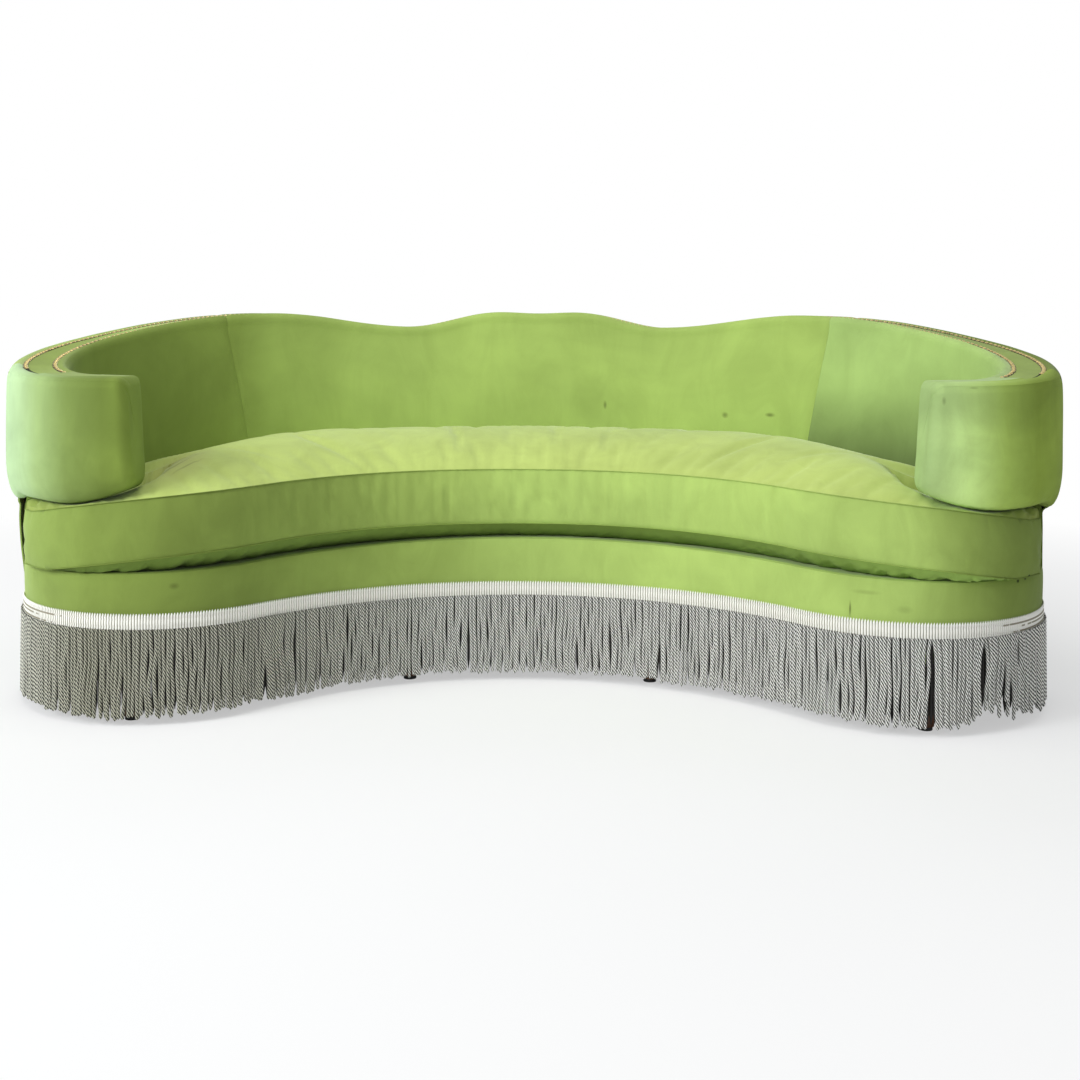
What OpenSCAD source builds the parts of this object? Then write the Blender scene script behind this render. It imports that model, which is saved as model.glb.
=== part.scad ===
// Crescent sofa with a tub back, wrapped arm fronts, one loose seat cushion and a bullion fringe.
// Plan arcs are set out from the front-most line of the base (y = 0), with +Y to the back,
// and placed() then moves everything so that the origin is under the middle of the whole sofa.

/* [Plan] */
// Radius of the concave front of the base
front_r = 780; // [700:5:1000]
// How far the middle of the front lies behind the front corners
front_dip = 380; // [300:5:430]
// Radius of the rounded front corners of the base
corner_r = 320; // [280:5:350]
// Depth of the base from its front-most line to the middle of the back
base_d = 1110; // [1060:5:1180]
// Clear width between the ends of the two arm fronts
arm_gap = 1606; // [1500:2:1680]
// Angle below the side at which each side wall ends and its arm front begins
wall_end_a = 22; // [18:1:26]

/* [Heights] */
// Underside of the wooden base above the floor
leg_h = 92; // [70:1:110]
// Top edge of the fringe header
header_z = 230; // [215:1:245]
// Height of the woven fringe header
header_h = 33; // [20:1:45]
// Clearance of the fringe cords above the floor
fringe_gap = 12; // [5:1:30]
// Top of the sprung deck at the middle of the seat
deck_z = 334; // [330:1:345]
// How much lower the deck is at the arms
deck_drop = 20; // [0:1:25]
// Top of the arm fronts
arm_z = 725; // [690:1:760]
// Top of the middle hump of the back
hump_z = 874; // [850:1:900]
// Dip at the very middle of the back below the hump
mid_sag = 3; // [0:1:10]
// Lowest point of the valleys beside the middle hump
valley_z = 831; // [810:1:850]
// Top of the two outer humps
side_hump_z = 866; // [850:1:890]

/* [Crest stations] */
// Distance along the back from the middle to the top of the middle hump
hump_at = 113; // [80:1:150]
// Distance along the back from the middle to the valley
valley_at = 384; // [330:1:440]
// Distance along the back from the middle to the outer hump
side_hump_at = 801; // [700:1:900]
// Length of flat arm top before the front-most point of the arm
arm_flat = 106; // [60:1:160]

/* [Upholstered wall] */
// Overhang of the padded wall beyond the base
pad_out = 41; // [20:1:45]
// Offset of the outer nail row inside the base line
outer_nail_t = 8; // [4:1:14]
// Distance between the two nail rows
nail_rows = 52; // [46:1:60]
// Offset of the inner face just under its top roll
inner_top_t = 92; // [88:1:98]
// Offset of the inner face at the seat, at the middle of the back
seat_back_t = 175; // [150:1:190]
// Offset of the inner face at the seat, at the arms
seat_arm_t = 120; // [110:1:130]
// Distance along the back from the middle to the seams of the inside cover
seam_at = 900; // [850:1:1000]
// Underside of the padded wall where it meets the lower panel
wall_under_z = 434; // [425:1:450]
// Slope of the arm front's end, from its foot to its top
end_lean = 17; // [0:1:30]
// Thickness of the velvet covers with their lining
skin = 3; // [2:0.5:4]
// Space left between neighbouring layers
ease_gap = 0.3; // [0.2:0.05:0.5]

/* [Seat cushion] */
// Top seam of the cushion at the middle of the front
seam_z = 496; // [480:1:510]
// How much lower the cushion's seams are at its ends
seam_drop = 45; // [20:1:50]
// Height of the boxing between the two seams
boxing_h = 127; // [100:1:140]
// Highest line of the crowned top
ridge_z = 562; // [535:1:570]
// Height of the crown beside the arms
ridge_end_z = 490; // [480:1:495]
// Overhang of the cushion beyond the base
cushion_out = 15; // [5:1:20]
// Half width of the cushion's front lobes
lobe_x = 1086; // [1070:1:1090]
// Gap between the back of the cushion and the inside cover
cushion_gap = 10; // [9:0.5:14]
// Top of the lobes under the arm fronts
lobe_z = 455; // [450:1:460]
// Forward travel that the cushion has without being squeezed
cushion_travel = 150; // [100:5:180]

/* [Frame] */
// Thickness of the bent base rails
rail_t = 25; // [18:1:30]
// Top of the base rails
rail_z = 300; // [290:1:304]
// Thickness of the plywood crest board
crest_t = 18; // [15:1:22]
// Number of seat springs
spring_count = 8; // [6:1:10]
// Thickness of the spring wire
wire_t = 4; // [3:0.5:5]
// Spacing of the fringe cord bundles
cord_pitch = 15; // [14.5:0.5:18]

/* [Hidden] */

big_fn = 360;

// Plan arcs: the concave front about arc_a, the corners about arc_c and the back about arc_b
arc_a = [0, front_dip - front_r];
arc_c = [sqrt(pow(front_r + corner_r, 2) - pow(corner_r - arc_a.y, 2)), corner_r];
back_k = corner_r - base_d;
back_r = (pow(corner_r, 2) - pow(arc_c.x, 2) - pow(back_k, 2)) / (2 * back_k + 2 * corner_r);
arc_b = [0, base_d - back_r];
join_a = atan2(arc_c.y - arc_b.y, arc_c.x);
front_a = atan2(arc_c.y - arc_a.y, arc_c.x);

// The tub's inner face at seat height has its own back arc about arc_s
seat_corner_r = corner_r - seat_arm_t;
seat_k = seat_corner_r + (corner_r - seat_corner_r) - (base_d - seat_back_t);
seat_r = (pow(seat_corner_r, 2) - pow(arc_c.x, 2) - pow(seat_k, 2)) / (2 * seat_k + 2 * seat_corner_r);
arc_s = [0, base_d - seat_back_t - seat_r];
seat_join_a = atan2(arc_c.y - arc_s.y, arc_c.x);

// The whole depth, from the front of the arm fronts to the back of the padded wall
y_shift = pad_out / 2 - (base_d + pad_out) / 2;

// Distances along the base line from the middle of the back
deg = 180 / PI;
back_len = back_r * (90 - join_a) / deg;
wall_len = back_len + corner_r * (join_a + wall_end_a) / deg;
arm_end_a = acos((arm_gap / 2 - arc_c.x) / (corner_r + pad_out));
arm_len = back_len + corner_r * (join_a + arm_end_a) / deg;
arm_front_at = back_len + corner_r * (join_a + 90) / deg;

// Depth of the sunken band between the two rolls, and the band's own thickness
sink = 5;
band_t = 2.3;
// Half width of the flat lip under each nail row, and the size of the domed trim
lip = 6;
trim_w = 10;
trim_h = 3;
// Offsets of the crest board's two edges
board_t0 = outer_nail_t - 8;
board_t1 = outer_nail_t + nail_rows + 4;
inner_nail_t = outer_nail_t + nail_rows;

function clamp01(f) = max(0, min(1, f));
function ease(f) = (1 - cos(180 * clamp01(f))) / 2;
function mix(a, b, f) = a + (b - a) * f;

// Outward direction and radius of the base line at distance u from the middle of the back
function out_a(u) = u < back_len ? 90 - u / back_r * deg : join_a - (u - back_len) / corner_r * deg;
function wall_pt(u, t, z) =
    let (v = abs(u), a = out_a(v), c = v < back_len ? arc_b : arc_c,
         r = (v < back_len ? back_r : corner_r) - t)
    [sign(u == 0 ? 1 : u) * (c.x + r * cos(a)), c.y + r * sin(a), z];

// Height of the crest: cosine easing from one station to the next
crest_stations = [
    [0, hump_z - mid_sag], [hump_at, hump_z], [valley_at, valley_z],
    [side_hump_at, side_hump_z], [arm_front_at - arm_flat, arm_z], [2 * arm_len, arm_z]];
function crest_i(v, i = 0) = v < crest_stations[i + 1][0] || i == 4 ? i : crest_i(v, i + 1);
function crest(u) =
    let (v = abs(u), i = crest_i(v), p = crest_stations[i], q = crest_stations[i + 1])
    mix(p[1], q[1], ease((v - p[0]) / (q[0] - p[0])));

// Offset of the tub's inner face at seat height
function seat_t(u) =
    let (v = abs(u), a = out_a(v), e = arc_b.y - arc_s.y)
    v < back_len
        ? back_r - (sqrt(pow(seat_r, 2) - pow(e * cos(a), 2)) - e * sin(a))
        : a >= 0 ? seat_arm_t : corner_r - seat_corner_r / cos(min(-a, wall_end_a));

// Crowned deck, its seams' arch, and the line under which the cushion's lobes stay
arch_x = 1050;
function arch(x) = ease(abs(x) / arch_x);
function deck_at(x) = deck_z - deck_drop * arch(x);
lid_x = 985;
lid_w = 180;
lid_rise = 44;
function lid(x) = lobe_z + lid_rise * pow(max(0, lid_x - abs(x)) / lid_w, 2);
// Underside of the arm fronts: over the lobes, then down to the side wall's lower edge
function arm_under(x) =
    mix(lid(x) + 2 * ease_gap, wall_under_z, ease((abs(x) - lobe_x - 14) / (arc_c.x + corner_r - lobe_x - 14)));

// Stations along the wall that all its layers share, so that their flats lie parallel
back_us = steps(-seam_at, seam_at, 32);
arm_us = steps(seam_at + ease_gap, wall_len, 12);
front_us = concat(steps(wall_len, arm_front_at - 60, 5), [arm_front_at - 20, arm_len - 26]);
function reversed(l) = [for (i = [len(l) - 1:-1:0]) l[i]];
function wall_stations(reach) =
    let (half = concat([for (u = arm_us) if (u > seam_at + 1 && u < min(reach, wall_len - 1)) u],
        reach > wall_len ? concat([wall_len - 8, wall_len - 0.5],
            [for (i = [1:5]) if (front_us[i] < reach - 1) front_us[i]]) : [],
        reach > arm_front_at ? [arm_front_at - 20] : [], [reach]))
    concat(-reversed(half), back_us, half);

// Helpers for lofted solids
function sum_of(v) = [for (i = v) 1] * v;
function flat_list(l) = [for (a = l) for (b = a) b];
function tri_volume(p, f) = sum_of([for (t = f) p[t[0]] * cross(p[t[1]], p[t[2]])]);
function turned(f) = [for (t = f) [t[0], t[2], t[1]]];
function halves(q) = [[q[0], q[1], q[2]], [q[0], q[2], q[3]]];

// A closed solid from triangles, whichever way round they were listed
module solid_of(points, faces) {
    polyhedron(points = points, faces = tri_volume(points, faces) > 0 ? turned(faces) : faces);
}

// A thick sheet between two grids of points, a[station][row] and b[station][row]
module sheet(a, b) {
    n = len(a);
    m = len(a[0]);
    o = n * m;
    quads = concat(
        [for (i = [0:n - 2]) for (j = [0:m - 2])
            [i * m + j, (i + 1) * m + j, (i + 1) * m + j + 1, i * m + j + 1]],
        [for (i = [0:n - 2]) for (j = [0:m - 2])
            [o + i * m + j, o + i * m + j + 1, o + (i + 1) * m + j + 1, o + (i + 1) * m + j]],
        [for (i = [0:n - 2]) [(i + 1) * m, i * m, o + i * m, o + (i + 1) * m]],
        [for (i = [0:n - 2])
            [i * m + m - 1, (i + 1) * m + m - 1, o + (i + 1) * m + m - 1, o + i * m + m - 1]],
        [for (j = [0:m - 2]) [j, j + 1, o + j + 1, o + j]],
        [for (j = [0:m - 2])
            [o - m + j + 1, o - m + j, 2 * o - m + j, 2 * o - m + j + 1]]);
    solid_of(concat(flat_list(a), flat_list(b)), flat_list([for (q = quads) halves(q)]));
}

// A solid through closed loops of points, its ends closed by fans about their middles
module loft(loops) {
    n = len(loops);
    m = len(loops[0]);
    mids = [for (l = [loops[0], loops[n - 1]]) sum_of(l) / m];
    sides = [for (i = [0:n - 2]) for (j = [0:m - 1])
        [i * m + j, (i + 1) * m + j, (i + 1) * m + (j + 1) % m, i * m + (j + 1) % m]];
    ends = concat(
        [for (j = [0:m - 1]) [n * m, j, (j + 1) % m]],
        [for (j = [0:m - 1]) [n * m + 1, (n - 1) * m + (j + 1) % m, (n - 1) * m + j]]);
    solid_of(concat(flat_list(loops), mids), concat(flat_list([for (q = sides) halves(q)]), ends));
}

// A line of [offset, height] points moved sideways by d, to the left of its direction
function side_of(l, j) =
    let (p = l[max(0, j - 1)], q = l[min(len(l) - 1, j + 1)], d = q - p) [-d.y, d.x] / norm(d);
function moved(l, d) = [for (j = [0:len(l) - 1]) l[j] + side_of(l, j) * d];
// The same for a closed loop, towards its inside when it runs counter-clockwise
function loop_side(l, j) =
    let (m = len(l), p = l[(j + m - 1) % m], q = l[(j + 1) % m], d = q - p) [-d.y, d.x] / norm(d);
function shrunk(l, d) = [for (j = [0:len(l) - 1]) l[j] + loop_side(l, j) * d];
function steps(a, b, n) = [for (i = [0:n]) mix(a, b, i / n)];

// The front arc stops this far short of the corner arcs, so that the curves cross and don't just touch
arc_step = 0.05;
// 2D plan of the base, its outline moved inwards by t
module plan(t) {
    difference() {
        union() {
            for (s = [-1, 1]) translate([s * arc_c.x, arc_c.y]) circle(r = corner_r - t, $fn = big_fn);
            intersection() {
                translate(arc_b) circle(r = back_r - t, $fn = big_fn);
                polygon([arc_b, arc_c + (arc_c - arc_b), [0, 3 * base_d],
                    [-2 * arc_c.x, 2 * arc_c.y - arc_b.y]]);
            }
            polygon([arc_a, arc_c, [-arc_c.x, arc_c.y]]);
        }
        translate(arc_a) circle(r = front_r + t - arc_step, $fn = big_fn);
    }
}

// 2D sectors that part the outline: about the side walls and back, or the front
module behind_walls(back_side = true, trim = 0) {
    x = arc_c.x;
    r = 3 * corner_r;
    a = wall_end_a - trim;
    rear = [[-x, arc_c.y], [-x - r * cos(a), arc_c.y - r * sin(a)], [-3 * base_d, 3 * base_d],
        [3 * base_d, 3 * base_d], [x + r * cos(a), arc_c.y - r * sin(a)], [x, arc_c.y],
        [0, (front_dip + base_d) / 2]];
    if (back_side) polygon(rear);
    else difference() {
        square(6 * base_d, center = true);
        polygon(rear);
    }
}

module placed() { translate([0, y_shift, 0]) children(); }
module raised(z0, z1) { translate([0, 0, z0]) linear_extrude(height = z1 - z0) children(); }
module ring(t0, t1) {
    difference() {
        plan(t0);
        plan(t1);
    }
}
// Everything under the deck's crowned surface, lowered by d
module under_deck(d = 0) {
    w = arc_c.x + corner_r + 60;
    xs = steps(-w, w, 24);
    translate([0, 2 * base_d, 0]) rotate([90, 0, 0]) linear_extrude(height = 4 * base_d)
        polygon(concat([[w, -10], [-w, -10]], [for (x = xs) [x, deck_at(x) - d]]));
}

rail_t0 = 12;
rail_t1 = rail_t0 + rail_t;

// Bent rails of the base
module front_rail() {
    color("burlywood") placed() raised(leg_h, rail_z) intersection() {
        ring(rail_t0, rail_t1);
        behind_walls(false);
    }
}
side_split_a = 46;
module back_sector(outer) {
    r = 3 * base_d;
    w = [arc_b, arc_b + r * [cos(side_split_a), sin(side_split_a)], arc_b + [0, 2 * r],
        arc_b + r * [-cos(side_split_a), sin(side_split_a)]];
    if (outer) difference() {
        behind_walls();
        polygon(w);
    } else intersection() {
        behind_walls();
        polygon(w);
    }
}
module back_rail() {
    color("burlywood") placed() raised(leg_h, rail_z) intersection() {
        ring(rail_t0, rail_t1);
        back_sector(false);
    }
}
module side_rails() {
    color("burlywood") placed() raised(leg_h, rail_z) intersection() {
        ring(rail_t0, rail_t1);
        back_sector(true);
    }
}

// Crosspieces from the front rail to the back rail
stretcher_w = 25;
stretcher_x = [0, 430, 760];
module seat_stretchers() {
    color("tan") placed() raised(leg_h + 60, leg_h + 130) intersection() {
        plan(rail_t1 + ease_gap);
        for (x = stretcher_x) for (s = [-1, 1])
            translate([s * x - stretcher_w / 2, 0]) square([stretcher_w, base_d]);
    }
}

// Places of the feet: offset inside the base line along each arc
foot_t = 48;
foot_spots = [
    for (s = [-1, 1]) for (p = [
        arc_c + (corner_r - foot_t) * [cos(-90), sin(-90)],
        arc_a + (front_r + foot_t) * [cos(70), sin(70)],
        arc_b + (back_r - foot_t) * [cos(76), sin(76)],
        arc_b + (back_r - foot_t) * [cos(44), sin(44)]]) [s * p.x, p.y]];
foot_r = 26;
plate_r = 30;
plate_t = 3;
glide_h = 8;
glide_r = 15;

module corner_blocks() {
    block_w = 84;
    color("tan") placed() raised(leg_h, leg_h + 58) intersection() {
        plan(rail_t1 + ease_gap);
        for (p = foot_spots) translate(p) square(block_w, center = true);
    }
}
module feet() {
    color("saddlebrown") placed() for (p = foot_spots) translate([p.x, p.y, glide_h])
        cylinder(r1 = 18, r2 = foot_r, h = leg_h - plate_t - glide_h, $fn = 48);
}
module foot_glides() {
    color("dimgray") placed() for (p = foot_spots) translate([p.x, p.y, 0])
        cylinder(r = glide_r, h = glide_h, $fn = 48);
}
module foot_plates() {
    color("gray") placed() for (p = foot_spots) translate([p.x, p.y, leg_h - plate_t])
        cylinder(r = plate_r, h = plate_t, $fn = 48);
}
module dust_cover() {
    color("black") placed() raised(leg_h - 1.7, leg_h - ease_gap) difference() {
        plan(4);
        for (p = foot_spots) translate(p) circle(r = plate_r + 1, $fn = 48);
    }
}

// Sinuous seat springs: a bent wire that weaves from the front rail to the back rail
spring_pitch = 1500 / (spring_count - 1);
spring_x = [for (i = [0:spring_count - 1]) (i - (spring_count - 1) / 2) * spring_pitch];
function front_y(x, t) = abs(x) < (front_r + t) * cos(front_a)
    ? arc_a.y + sqrt(pow(front_r + t, 2) - x * x)
    : arc_c.y - sqrt(pow(corner_r - t, 2) - pow(abs(x) - arc_c.x, 2));
function back_y(x, t) = arc_b.y + sqrt(pow(back_r - t, 2) - x * x);
wave_a = 26;
wave_n = 10;
function weave(x) =
    let (y0 = front_y(x, rail_t0 + 6), y1 = back_y(x, rail_t0 + 6), p = (y1 - y0) / wave_n)
    concat([[x, y0]],
        [for (i = [0:wave_n - 1]) for (k = [0.2, 0.38, 0.62, 0.8])
            [x + (i % 2 == 0 ? 1 : -1) * wave_a * (k == 0.2 || k == 0.8 ? 0.8 : 1),
             y0 + (i + k) * p]],
        [[x, y1]]);
module wire(l, w) { polygon(concat(moved(l, w / 2), [for (i = [len(l) - 1:-1:0]) moved(l, -w / 2)[i]])); }
module sinuous_springs() {
    color("silver") placed() raised(rail_z, rail_z + wire_t) for (x = spring_x) wire(weave(x), wire_t);
}
module spring_clips() {
    w = 2 * wire_t + 10;
    color("gray") placed() for (x = spring_x) for (y = [front_y(x, rail_t1 - 10), back_y(x, rail_t1 - 10)])
        translate([x - w / 2, y - 6, rail_z + wire_t]) cube([w, 12, 1.5]);
}

// Deck layers: inside the walls, and out to the border at the front
module deck_plan(t) {
    plan(deck_wall_t);
    intersection() {
        plan(t);
        behind_walls(false);
    }
}
deck_wall_t = 59;
burlap_z = rail_z + wire_t + 1.5;
module deck_burlap() {
    color("peru") placed() raised(burlap_z, burlap_z + 1.5) deck_plan(rail_t0 + 2);
}
module deck_pad() {
    color("khaki") placed() intersection() {
        raised(burlap_z + 1.5, deck_z + 10) deck_plan(skin + ease_gap);
        under_deck(1.5 + ease_gap);
    }
}
module deck_cover() {
    color("darkolivegreen") placed() difference() {
        intersection() {
            raised(burlap_z + 1.5, deck_z + 10) deck_plan(skin + ease_gap);
            under_deck(0);
        }
        under_deck(1.5);
    }
}

// Posts that carry the crest board, and the rail behind the seat
post_w = 40;
post_t0 = 14;
post_t1 = 52;
back_post_x = [0, 2 * spring_pitch, 4 * spring_pitch];
back_post_u = [for (x = back_post_x) back_r * asin(x / back_r) / deg];
last_post_u = wall_len - 40;
arm_post_u = [back_len + 60, last_post_u];
// Height of the crest as the straight pieces between shared stations have it
function between(u, l, n) =
    let (f = (u - l[0]) / (l[n] - l[0]) * n, i = min(n - 1, floor(f)))
    mix(crest(l[i]), crest(l[i + 1]), f - i);
function crest_on(u) = u < seam_at ? between(u, back_us, 32) : between(u, arm_us, 12);
module post_at(u) {
    half_w = post_w / 2 * (u > back_len ? corner_r / (corner_r - post_t1) : 1);
    top = min([for (d = [-1, 0, 1]) crest_on(abs(abs(u) + d * half_w))])
        - sink - skin - crest_t - 3 * ease_gap;
    a = out_a(abs(u));
    p = wall_pt(abs(u), 0, 0);
    for (s = u == 0 ? [1] : [-1, 1]) translate([s * p.x, p.y, rail_z]) rotate(s > 0 ? a : 180 - a)
        translate([-post_t1, -post_w / 2, 0]) cube([post_t1 - post_t0, post_w, top - rail_z]);
}
module back_posts() { color("tan") placed() for (u = back_post_u) post_at(u); }
module arm_posts() { color("tan") placed() for (u = arm_post_u) post_at(u); }
low_rail_t1 = post_t1 + ease_gap + 22;
low_rail_z0 = deck_z + 11;
low_rail_z1 = low_rail_z0 + 55;
module lower_back_rail() {
    color("burlywood") placed() raised(low_rail_z0, low_rail_z1) intersection() {
        ring(post_t1 + ease_gap, low_rail_t1);
        behind_walls(true, 0.1);
    }
}

// Crest board: plywood that follows the crest from one arm front to the other, a little lower
// where the arm fronts' covers pass between it and the band
board_us = wall_stations(arm_len - 42);
function board_z(u) = crest(u) - sink - skin - ease_gap - (abs(u) > wall_len - 1 ? skin + ease_gap : 0);
module crest_board() {
    color("burlywood") placed() sheet(
        [for (u = board_us) [for (t = [board_t0, board_t1]) wall_pt(u, t, board_z(u))]],
        [for (u = board_us) [for (t = [board_t0, board_t1]) wall_pt(u, t, board_z(u) - crest_t)]]);
}

// Boards that carry the arm fronts from below, and the blocks at their ends
arm_board_z = lobe_z + lid_rise + 28;
arm_board_a = -out_a(last_post_u) + asin((post_w / 2 + ease_gap) / (corner_r - board_t1));
module arm_sector(a0, a1, r) {
    polygon(concat([[0, 0]], [for (a = steps(-a0, -a1, 8)) r * [cos(a), sin(a)]]));
}
module arm_front_boards() {
    color("burlywood") placed() raised(arm_board_z, arm_board_z + crest_t) for (s = [-1, 1])
        scale([s, 1]) translate(arc_c) intersection() {
            difference() {
                circle(r = corner_r - post_t0, $fn = big_fn);
                circle(r = corner_r - board_t1, $fn = big_fn);
            }
            arm_sector(arm_board_a, arm_end_a - 6, 2 * corner_r);
        }
}
block_w = 30;
module arm_front_blocks() {
    u = arm_len - 34 - block_w / 2 - 6;
    a = out_a(u);
    top = board_z(u) - crest_t - ease_gap;
    color("tan") placed() for (s = [-1, 1]) scale([s, 1, 1]) translate([arc_c.x, arc_c.y, arm_board_z + crest_t])
        rotate(a) translate([corner_r - board_t1 + 6, -block_w / 2, 0])
            cube([board_t1 - post_t0 - 8, block_w, top - arm_board_z - crest_t]);
}

// Visible lines of the wall, as [offset, height] points from the nail lip downwards
function outer_line(c) = [
    [outer_nail_t + lip, c - sink], [outer_nail_t - lip, c - sink], [outer_nail_t - 11, c - 1.5],
    [outer_nail_t - 18, c], [-pad_out + 14, c - 4], [-pad_out + 6, c - 12], [-pad_out + 1.5, c - 26],
    [-pad_out, c - 48], [-pad_out, mix(c, wall_under_z, 0.5)], [-pad_out, wall_under_z + 96],
    [-pad_out + 3, wall_under_z + 58], [-pad_out + 12, wall_under_z + 28],
    [-pad_out + 26, wall_under_z + 10], [0, wall_under_z], [0, leg_h]];
face_z = 470;
function inner_line(u) =
    let (c = crest(u), ts = seat_t(u), x = wall_pt(u, ts, 0).x, zt = c - 30)
    [[inner_nail_t - lip, c - sink], [inner_nail_t + lip, c - sink], [inner_nail_t + 11, c - 1.5],
     [inner_nail_t + 17, c], [inner_top_t - 8, c - 4], [inner_top_t - 3, c - 13], [inner_top_t, zt],
     [mix(inner_top_t, ts, 0.36) + 4, mix(zt, face_z, 0.33)],
     [mix(inner_top_t, ts, 0.7) + 4, mix(zt, face_z, 0.67)],
     [ts, face_z], [ts, deck_at(x) + 2 * ease_gap]];
function at_u(u, line) = [for (p = line) wall_pt(u, p.x, p.y)];
module inside_skin(us) {
    sheet([for (u = us) at_u(u, inner_line(u))], [for (u = us) at_u(u, moved(inner_line(u), -skin))]);
}
module outside_skin(us) {
    sheet([for (u = us) at_u(u, outer_line(crest(u)))],
        [for (u = us) at_u(u, moved(outer_line(crest(u)), skin))]);
}
module inside_back_cover() { color("yellowgreen") placed() inside_skin(back_us); }
module right_inside_arm_cover() { color("olivedrab") placed() inside_skin(arm_us); }
module left_inside_arm_cover() { color("olivedrab") placed() inside_skin(-arm_us); }
module outside_back_cover() { color("yellowgreen") placed() outside_skin(back_us); }
// The outside arm covers turn round the front end of the wall, behind the cushion's lobes
module outside_arm(s) {
    outside_skin(s * arm_us);
    a = -wall_end_a;
    z0 = deck_z - deck_drop + 1;
    rs = [seat_corner_r + 18, corner_r - inner_nail_t - 8, corner_r - 6, corner_r - skin];
    scale([s, 1, 1]) translate([arc_c.x, arc_c.y, 0]) rotate(a) rotate([90, 0, 0])
        linear_extrude(height = skin) polygon(concat(
            [[corner_r - skin, z0], [seat_corner_r + 18, z0]],
            [for (r = rs) [r, arm_under(arc_c.x + r * cos(a)) - 2 * ease_gap]]));
}
module right_outside_arm_cover() { color("olivedrab") placed() outside_arm(1); }
module left_outside_arm_cover() { color("olivedrab") placed() outside_arm(-1); }

// Padding between the outside covers and the posts
pad_us = wall_stations(wall_len - 0.2);
module outside_padding() {
    rows = [4, 6, 7, 9, 11, 12];
    color("whitesmoke") placed() sheet(
        [for (u = pad_us) let (l = moved(outer_line(crest(u)), skin + ease_gap)) at_u(u, [for (j = rows) l[j]])],
        [for (u = pad_us) let (l = moved(outer_line(crest(u)), skin + ease_gap), c = crest(u))
            at_u(u, [for (j = rows) [j < 7 ? board_t0 - 3 * ease_gap : post_t0 - 2.5,
                j < 6 ? c - 16 : j == 6 ? c - 28 : l[j].y]])]);
}

// Webbing on the back, foam in front of it
web_t = 2;
function web_line(z, c) = mix(low_rail_t1, board_t1, clamp01((z - low_rail_z1) / (c - 27 - low_rail_z1)))
    + 1.5 * ease_gap;
web_us = [for (i = [-7:7]) i * 2 * seam_at / 16];
module back_webbing() {
    color("saddlebrown") placed() for (u = web_us)
        let (w = 25, c = crest_on(abs(u)), zs = [low_rail_z0 + 10, low_rail_z1, c - 27, c - 16])
        sheet([for (v = [u - w, u + w]) [for (z = zs) wall_pt(v, web_line(z, c) + web_t, z)]],
            [for (v = [u - w, u + w]) [for (z = zs) wall_pt(v, web_line(z, c), z)]]);
}
module foam(us) {
    rows = [4, 5, 6, 7, 8, 9, 10];
    sheet(
        [for (u = us) let (l = moved(inner_line(u), -skin - ease_gap)) at_u(u, [for (j = rows) l[j]])],
        [for (u = us) let (l = moved(inner_line(u), -skin - ease_gap), c = crest(u))
            at_u(u, [for (j = rows) let (z = min(l[j].y, c - 12) - (j == 5 ? 4 : 0))
                [web_line(z, c) + web_t + 2.5, z]])]);
}
module back_foam() { color("lightyellow") placed() foam(back_us); }
module right_arm_foam() { color("lightyellow") placed() foam(arm_us); }
module left_arm_foam() { color("lightyellow") placed() foam(-arm_us); }

// Arm fronts: padded loops that wrap round the corners over the cushion's lobes
end_r = 26;
end_steps = [[10, 20], [18, 38], [22.5, 58], [25.5, 90]];
function arm_inner_t(u) = mix(seat_t(wall_len) - 6, inner_top_t - 4, ease((abs(u) - wall_len) / 180));
function leaned(u, z, c) = u - end_lean * clamp01((z - lobe_z) / (c - lobe_z)) * ease((u - arm_front_at + 250) / 250);
function arm_loop(u, grow) =
    let (c = crest(u), ti = arm_inner_t(u), o = outer_nail_t, n = inner_nail_t, m = o + lip, k = n - lip,
         low = lobe_z + 60)
    shrunk([[m, c - sink], [o - lip, c - sink], [o - 11, c - 1.5], [-pad_out + 20, c],
        [-pad_out + 9, c - 3], [-pad_out + 2.5, c - 11], [-pad_out, c - 26], [-pad_out, mix(c, low, 0.5)],
        [-pad_out, low], [-pad_out + 3, low - 32], [-pad_out + 12, low - 51], [-pad_out + 26, low - 59],
        [6, low - 60], [ti - 30, low - 60], [ti - 12, low - 53], [ti - 3, low - 38], [ti, low - 8],
        [ti, c - 36], [ti - 4, c - 14], [ti - 11, c - 3], [n + 13, c - 1], [n + lip, c - sink],
        [k, c - sink], [k - 0.5, c - sink - skin], [m + 0.5, c - sink - skin]], grow);
// Points low on the loop keep their height above the underside that the lobes need
function arm_pt(u, t, z, c) =
    let (p = wall_pt(leaned(u, z, c), t, z), low = lobe_z + 60,
         f = clamp01((low + 60 - z) / 120))
    [p.x, p.y, z + (arm_under(p.x) - lobe_z) * f];
function arm_ring(u, grow, inset) =
    let (c = crest(u)) [for (p = arm_loop(u, grow + inset)) arm_pt(u, p.x, p.y, c)];
module arm_front_cover(s) {
    outer = concat([for (u = front_us) arm_ring(u, 0, 0)],
        [for (e = end_steps) arm_ring(arm_len - 26 + e[0], 0, end_r * (1 - cos(e[1])))]);
    inner = concat([for (u = [wall_len - 5, wall_len + 0.5]) arm_ring(u, skin, 0)],
        [for (i = [1:len(front_us) - 1]) arm_ring(front_us[i], skin, 0)],
        [arm_ring(arm_len - 20, skin, 0.8), arm_ring(arm_len - 11, skin, 5)]);
    scale([s, 1, 1]) difference() {
        loft(outer);
        loft(inner);
    }
}
module right_arm_front_cover() { color("limegreen") placed() arm_front_cover(1); }
module left_arm_front_cover() { color("limegreen") placed() arm_front_cover(-1); }
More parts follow.
